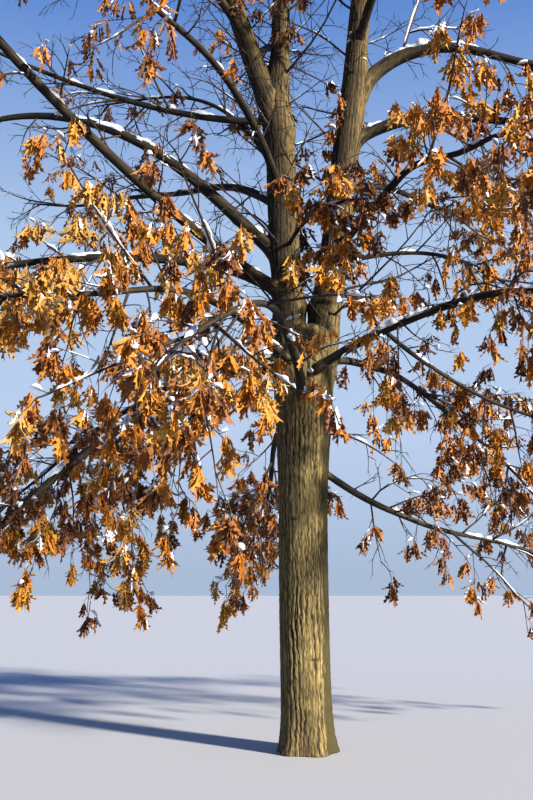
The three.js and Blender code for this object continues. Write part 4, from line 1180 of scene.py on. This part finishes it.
# Looks
SUN_AZIMUTH = 321.0  # the sun's azimuth; the bark is painted darker in shade on the side turned away from it
# Scales of the bark's streaks and cracks along the grain, and of its patches
STREAKS = 85.0
CRACKS = 62.0
PATCHES = 2.6
# What they add to the bark's tone: from and to, and the tones there
STREAK_TONES = (0.25, 0.75, -0.20, 0.16)
CRACK_TONES = (0.0, 1.0, -0.12, 0.0)
PATCH_TONES = (0.35, 0.65, -0.10, 0.06)
THICK_TO_THIN = (0.085, 0.035)  # girths between which the bark turns from the trunk's to that of boughs
DAMP_AZIMUTH = 0.0
# The height of a place, and how far it faces that way, both from and to, and the shares of damp there
DAMP_FOOT = (0.0, 1.6, 0.42, 0.05)
DAMP_SIDE = (0.60, 0.76, 0.0, 0.92)
DAMP_HEIGHTS = (3.0, 4.2, 1.0, 0.0)
# Painted shade: tones that multiply the bark's, darkest on the side away from the sun and full on the side
# facing it
TRUNK_SUN_SHADE = ((0.0, 0xB4B6BA), (1.0, 0xFFFFFF))
LIMBS_SUN_SHADE = ((0.0, 0x7E7D7C), (0.52, 0x9A9894), (0.8, 0xBCBAB6), (1.0, 0xFFFFFF))
CROWN_SHADE_HEIGHTS = (2.8, 7.2)  # heights between which the tones are multiplied by those of the next row: partly darker bark and partly painted shade of the crown
CROWN_SHADE_TONES = ((0.0, 0xFFFFFF), (0.36, 0xBBB4AC), (0.65, 0xBFB8B0), (1.0, 0xD3CDC5))
# Tones by relief: the dark furrow end is partly the bark's own colour and partly painted shade in the furrows
OLD_BARK = ((0.0, 0x221A10), (0.32, 0x54482F), (0.66, 0x86754A), (1.0, 0xAF9D67))
YOUNG_BARK = ((0.0, 0x191511), (0.45, 0x362E25), (1.0, 0x62553F))


def shader(name):
    made = bpy.data.materials.new(name)
    made.use_nodes = True
    tree = made.node_tree
    return made, tree, tree.nodes["Principled BSDF"]


def connect(tree, node, **inputs):
    """Links or sets inputs, by name with _ for a blank, or by number after a _."""
    for name, value in inputs.items():
        socket = node.inputs[int(name[1:]) if name[0] == "_" else name.replace("_", " ")]
        if isinstance(value, bpy.types.NodeSocket):
            tree.links.new(value, socket)
        else:
            socket.default_value = value
    return node


def add_node(tree, kind, settings=None, **inputs):
    node = tree.nodes.new(kind)
    for name, value in (settings or {}).items():
        setattr(node, name, value)
    return connect(tree, node, **inputs)


def linear(colour):
    channels = [(colour >> shift & 255) / 255 for shift in (16, 8, 0)]
    return [c / 12.92 if c <= 0.04045 else ((c + 0.055) / 1.055) ** 2.4 for c in channels] + [1.0]


def noise(tree, place, scale, detail=3.0):
    return add_node(tree, "ShaderNodeTexNoise", Vector=place, Scale=scale, Detail=detail).outputs["Fac"]


def ramp(tree, value, *stops):
    node = add_node(tree, "ShaderNodeValToRGB", Fac=value)
    elements = node.color_ramp.elements
    while len(elements) < len(stops):
        elements.new(0.5)
    for element, (place, colour) in zip(elements, stops):
        element.position = place
        element.color = linear(colour)
    return node.outputs["Color"]


def bump(tree, height, strength, distance):
    node = add_node(tree, "ShaderNodeBump", Height=height, Strength=strength, Distance=distance)
    return node.outputs["Normal"]


def blend(tree, how, share, first, second):
    settings = {"data_type": "RGBA", "blend_type": how}
    return add_node(tree, "ShaderNodeMix", settings, _0=share, _6=first, _7=second).outputs[2]


def maths(tree, how, *values):
    total = values[0]
    for value in values[1:]:
        total = add_node(tree, "ShaderNodeMath", {"operation": how}, _0=total, _1=value).outputs[0]
    return total


def ranged(tree, value, low, high, to_low=0.0, to_high=1.0):
    return add_node(tree, "ShaderNodeMapRange", _0=value, _1=low, _2=high, _3=to_low, _4=to_high).outputs[0]


def facing(tree, direction, azimuth):
    """How far a direction turns to an azimuth, from -1 to 1."""
    return add_node(tree, "ShaderNodeVectorMath", {"operation": "DOT_PRODUCT"}, _0=direction,
                    _1=heading(azimuth, 0).tolist()).outputs["Value"]


def bark_material(name, damp, sun_shade_tones):
    """Furrows darker than the ridges, partly the bark's own colour and partly painted shade, by the relief
    and by streaks, in tones for thick and thin limbs.

    The tones are multiplied by painted shade, darkest on the side away from the sun, and higher up by painted
    shade of the crown on partly darker bark.
    damp is the colour of the foot and of one side, or none.
    """
    made, tree, surface = shader(name)
    where = add_node(tree, "ShaderNodeTexCoord").outputs
    place = where["Object"]
    height, grain, girth = (
        add_node(tree, "ShaderNodeAttribute", {"attribute_name": label}).outputs[kind]
        for label, kind in (("relief", "Fac"), ("grain", "Vector"), ("girth", "Fac"))
    )
    streaks = noise(tree, grain, STREAKS, 5.0)
    settings = {"feature": "DISTANCE_TO_EDGE"}
    edges = add_node(tree, "ShaderNodeTexVoronoi", settings, Vector=grain, Scale=CRACKS)
    cracks = ranged(tree, edges.outputs["Distance"], 0.0, 0.16)
    patches = noise(tree, place, PATCHES)
    tone = maths(tree, "ADD", height, ranged(tree, streaks, *STREAK_TONES),
                 ranged(tree, cracks, *CRACK_TONES), ranged(tree, patches, *PATCH_TONES))
    young = ranged(tree, girth, *THICK_TO_THIN)
    colour = blend(tree, "MIX", young, ramp(tree, tone, *OLD_BARK), ramp(tree, tone, *YOUNG_BARK))
    level = add_node(tree, "ShaderNodeSeparateXYZ", Vector=place).outputs["Z"]
    if damp:
        share = maths(tree, "MULTIPLY", ranged(tree, level, *DAMP_FOOT),
                      ranged(tree, noise(tree, place, 6.0), 0.45, 0.65))
        colour = blend(tree, "MIX", share, colour, linear(damp))
        flat = add_node(tree, "ShaderNodeVectorMath", {"operation": "MULTIPLY"}, _0=place, _1=(1, 1, 0))
        turned = add_node(tree, "ShaderNodeVectorMath", {"operation": "NORMALIZE"}, _0=flat.outputs[0])
        ragged = maths(tree, "ADD", facing(tree, turned.outputs[0], DAMP_AZIMUTH),
                       ranged(tree, noise(tree, grain, 30.0), 0.3, 0.7, -0.10, 0.10))
        share = maths(tree, "MULTIPLY", ranged(tree, ragged, *DAMP_SIDE), ranged(tree, level, *DAMP_HEIGHTS))
        colour = blend(tree, "MIX", share, colour, linear(damp))
    # Painted shade: darker on the side turned away from the sun
    sunward_share = ranged(tree, facing(tree, where["Normal"], SUN_AZIMUTH), 0.1, 1.0)
    colour = blend(tree, "MULTIPLY", 1.0, colour, ramp(tree, sunward_share, *sun_shade_tones))
    # Painted shade of the crown, on partly darker bark: darker from the fork up
    colour = blend(tree, "MULTIPLY", 1.0, colour, ramp(tree, ranged(tree, level, *CROWN_SHADE_HEIGHTS), *CROWN_SHADE_TONES))
    rough = ranged(tree, streaks, 0.3, 0.7, 0.80, 0.98)
    fine = maths(tree, "ADD", streaks, ranged(tree, cracks, 0.0, 1.0, 0.0, 0.5))
    connect(tree, surface, Base_Color=colour, Roughness=rough, Normal=bump(tree, fine, 0.7, 0.005))
    return made


def twig_material(name, dark, pale):
    made, tree, surface = shader(name)
    place = add_node(tree, "ShaderNodeTexCoord").outputs["Object"]
    connect(tree, surface, Base_Color=ramp(tree, noise(tree, place, 14.0), (0.3, dark), (0.7, pale)),
            Roughness=0.8, Normal=bump(tree, noise(tree, place, 260.0), 0.4, 0.002))
    return made


def grained_material(name, colour, scale, roughness, strength, gloss=0.5):
    """One colour, with fine noise in its roughness, least and most, and in its bump."""
    made, tree, surface = shader(name)
    place = add_node(tree, "ShaderNodeTexCoord").outputs["Object"]
    grain = noise(tree, place, scale)
    connect(tree, surface, Base_Color=linear(colour), Specular_IOR_Level=gloss,
            Roughness=ranged(tree, grain, 0.3, 0.7, *roughness), Normal=bump(tree, grain, strength, 0.004))
    return made


bark = bark_material("bark", 0x3D3718, TRUNK_SUN_SHADE)
limb_bark = bark_material("limb_bark", None, LIMBS_SUN_SHADE)
twig_bark = twig_material("twig_bark", 0x201916, 0x4A3C33)
snow_look = grained_material("snow", 0xCCD1D9, 140.0, (0.5, 0.75), 0.35)


def place_piece(piece, nodes=()):
    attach(piece, "root")
    if nodes:
        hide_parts(*nodes)


place_piece(bark_trunk.build("bark_trunk", bark), ["trunk"])
place_piece(bark_leaders.build("bark_leaders", limb_bark), [leader.name for leader in leaders])
place_piece(bark_boughs.build("bark_boughs", limb_bark), [bough.name for bough in boughs])
place_piece(bark_twigs.build("side_branches", twig_bark))
place_piece(fine_twigs.build("twigs", twig_bark))
place_piece(snow.build("snow_on_limbs", snow_look),
            ["snow_arch_right", "snow_right_low", "snow_left_high"])

corners, faces = leaf_template()
draws = (chance(key, 90) - 0.5 for key in (twigs["key"][leaf["twig"]], leaf["tuft"], leaf["key"]))
draw = 0.5 + sum(spread * part for spread, part in zip(TINT_SPREAD, draws))
# Partly a browner tint and partly painted light and shade: masses in shade are drawn darker, sunlit ones a
# little paler
draw += tint_and_shade_darkening[twigs["mass"][leaf["twig"]]]
tint_of_leaf = np.searchsorted([last for _, _, last in TINTS.values()], draw)
masses_left = {slot: mass_names[i::len(MASS_SLOTS)] for i, slot in enumerate(MASS_SLOTS)}
for n, (name, (colour, slot, _)) in enumerate(TINTS.items()):
    rows = keep(leaf, tint_of_leaf == n)
    points = leaf_points(rows, corners)
    surface = Surface()
    surface.add(points, faces[None] + (np.arange(len(points)) * len(corners))[:, None, None])
    look = grained_material("leaf_" + name, colour, 95.0, (0.45, 0.7), 0.6, 0.28)
    place_piece(surface.build("leaves_" + name, look, smooth=False), masses_left.pop(slot, ()))

# Stage
FLOOR_SIZE = 160.0
bpy.ops.mesh.primitive_plane_add(size=FLOOR_SIZE)
floor = bpy.context.object
floor.name = "floor"
pale, tree, surface = shader("floor")
connect(tree, surface, Base_Color=linear(0xACACAE), Roughness=0.9)
floor.data.materials.append(pale)

world = bpy.data.worlds.new("world")
bpy.context.scene.world = world
world.use_nodes = True
tree = world.node_tree
place = add_node(tree, "ShaderNodeTexCoord").outputs["Generated"]
upward = add_node(tree, "ShaderNodeSeparateXYZ", Vector=place).outputs["Z"]
SKY_STRENGTH = 0.92
SKY = ((0.0, 0xA9B9D0), (0.14, 0xB9CBE6), (0.33, 0xACC3E2), (0.53, 0x648CCC), (0.87, 0x3D6DBB))  # by height
connect(tree, tree.nodes["Background"], Color=ramp(tree, upward, *SKY), Strength=SKY_STRENGTH)

SUN_RISE = 24.0
SUN_STRENGTH = 8.7
SUN_WIDTH = 4.0
SUN_COLOUR = (1.0, 0.93, 0.81)
sun = bpy.data.lights.new("sun", "SUN")
sun.energy = SUN_STRENGTH
sun.angle = math.radians(SUN_WIDTH)
sun.color = SUN_COLOUR
lamp = bpy.data.objects.new("sun", sun)
lamp.rotation_euler = (math.radians(90 - SUN_RISE), 0, math.radians(SUN_AZIMUTH + 90))
bpy.context.scene.collection.objects.link(lamp)

CAMERA_PITCH = 10.1
FOCAL_LENGTH = 45.0
SENSOR_WIDTH = 36.0
FARTHEST = 500.0
camera_data = bpy.data.cameras.new("camera")
camera_data.lens = FOCAL_LENGTH
camera_data.sensor_width = SENSOR_WIDTH
camera_data.clip_end = FARTHEST
camera = bpy.data.objects.new("camera", camera_data)
camera.location = CAMERA_PLACE
camera.rotation_euler = (math.radians(90 + CAMERA_PITCH), 0, 0)
bpy.context.scene.collection.objects.link(camera)
bpy.context.scene.camera = camera
bpy.context.scene.view_settings.view_transform = "Standard"
bpy.context.scene.view_settings.look = "Medium High Contrast"
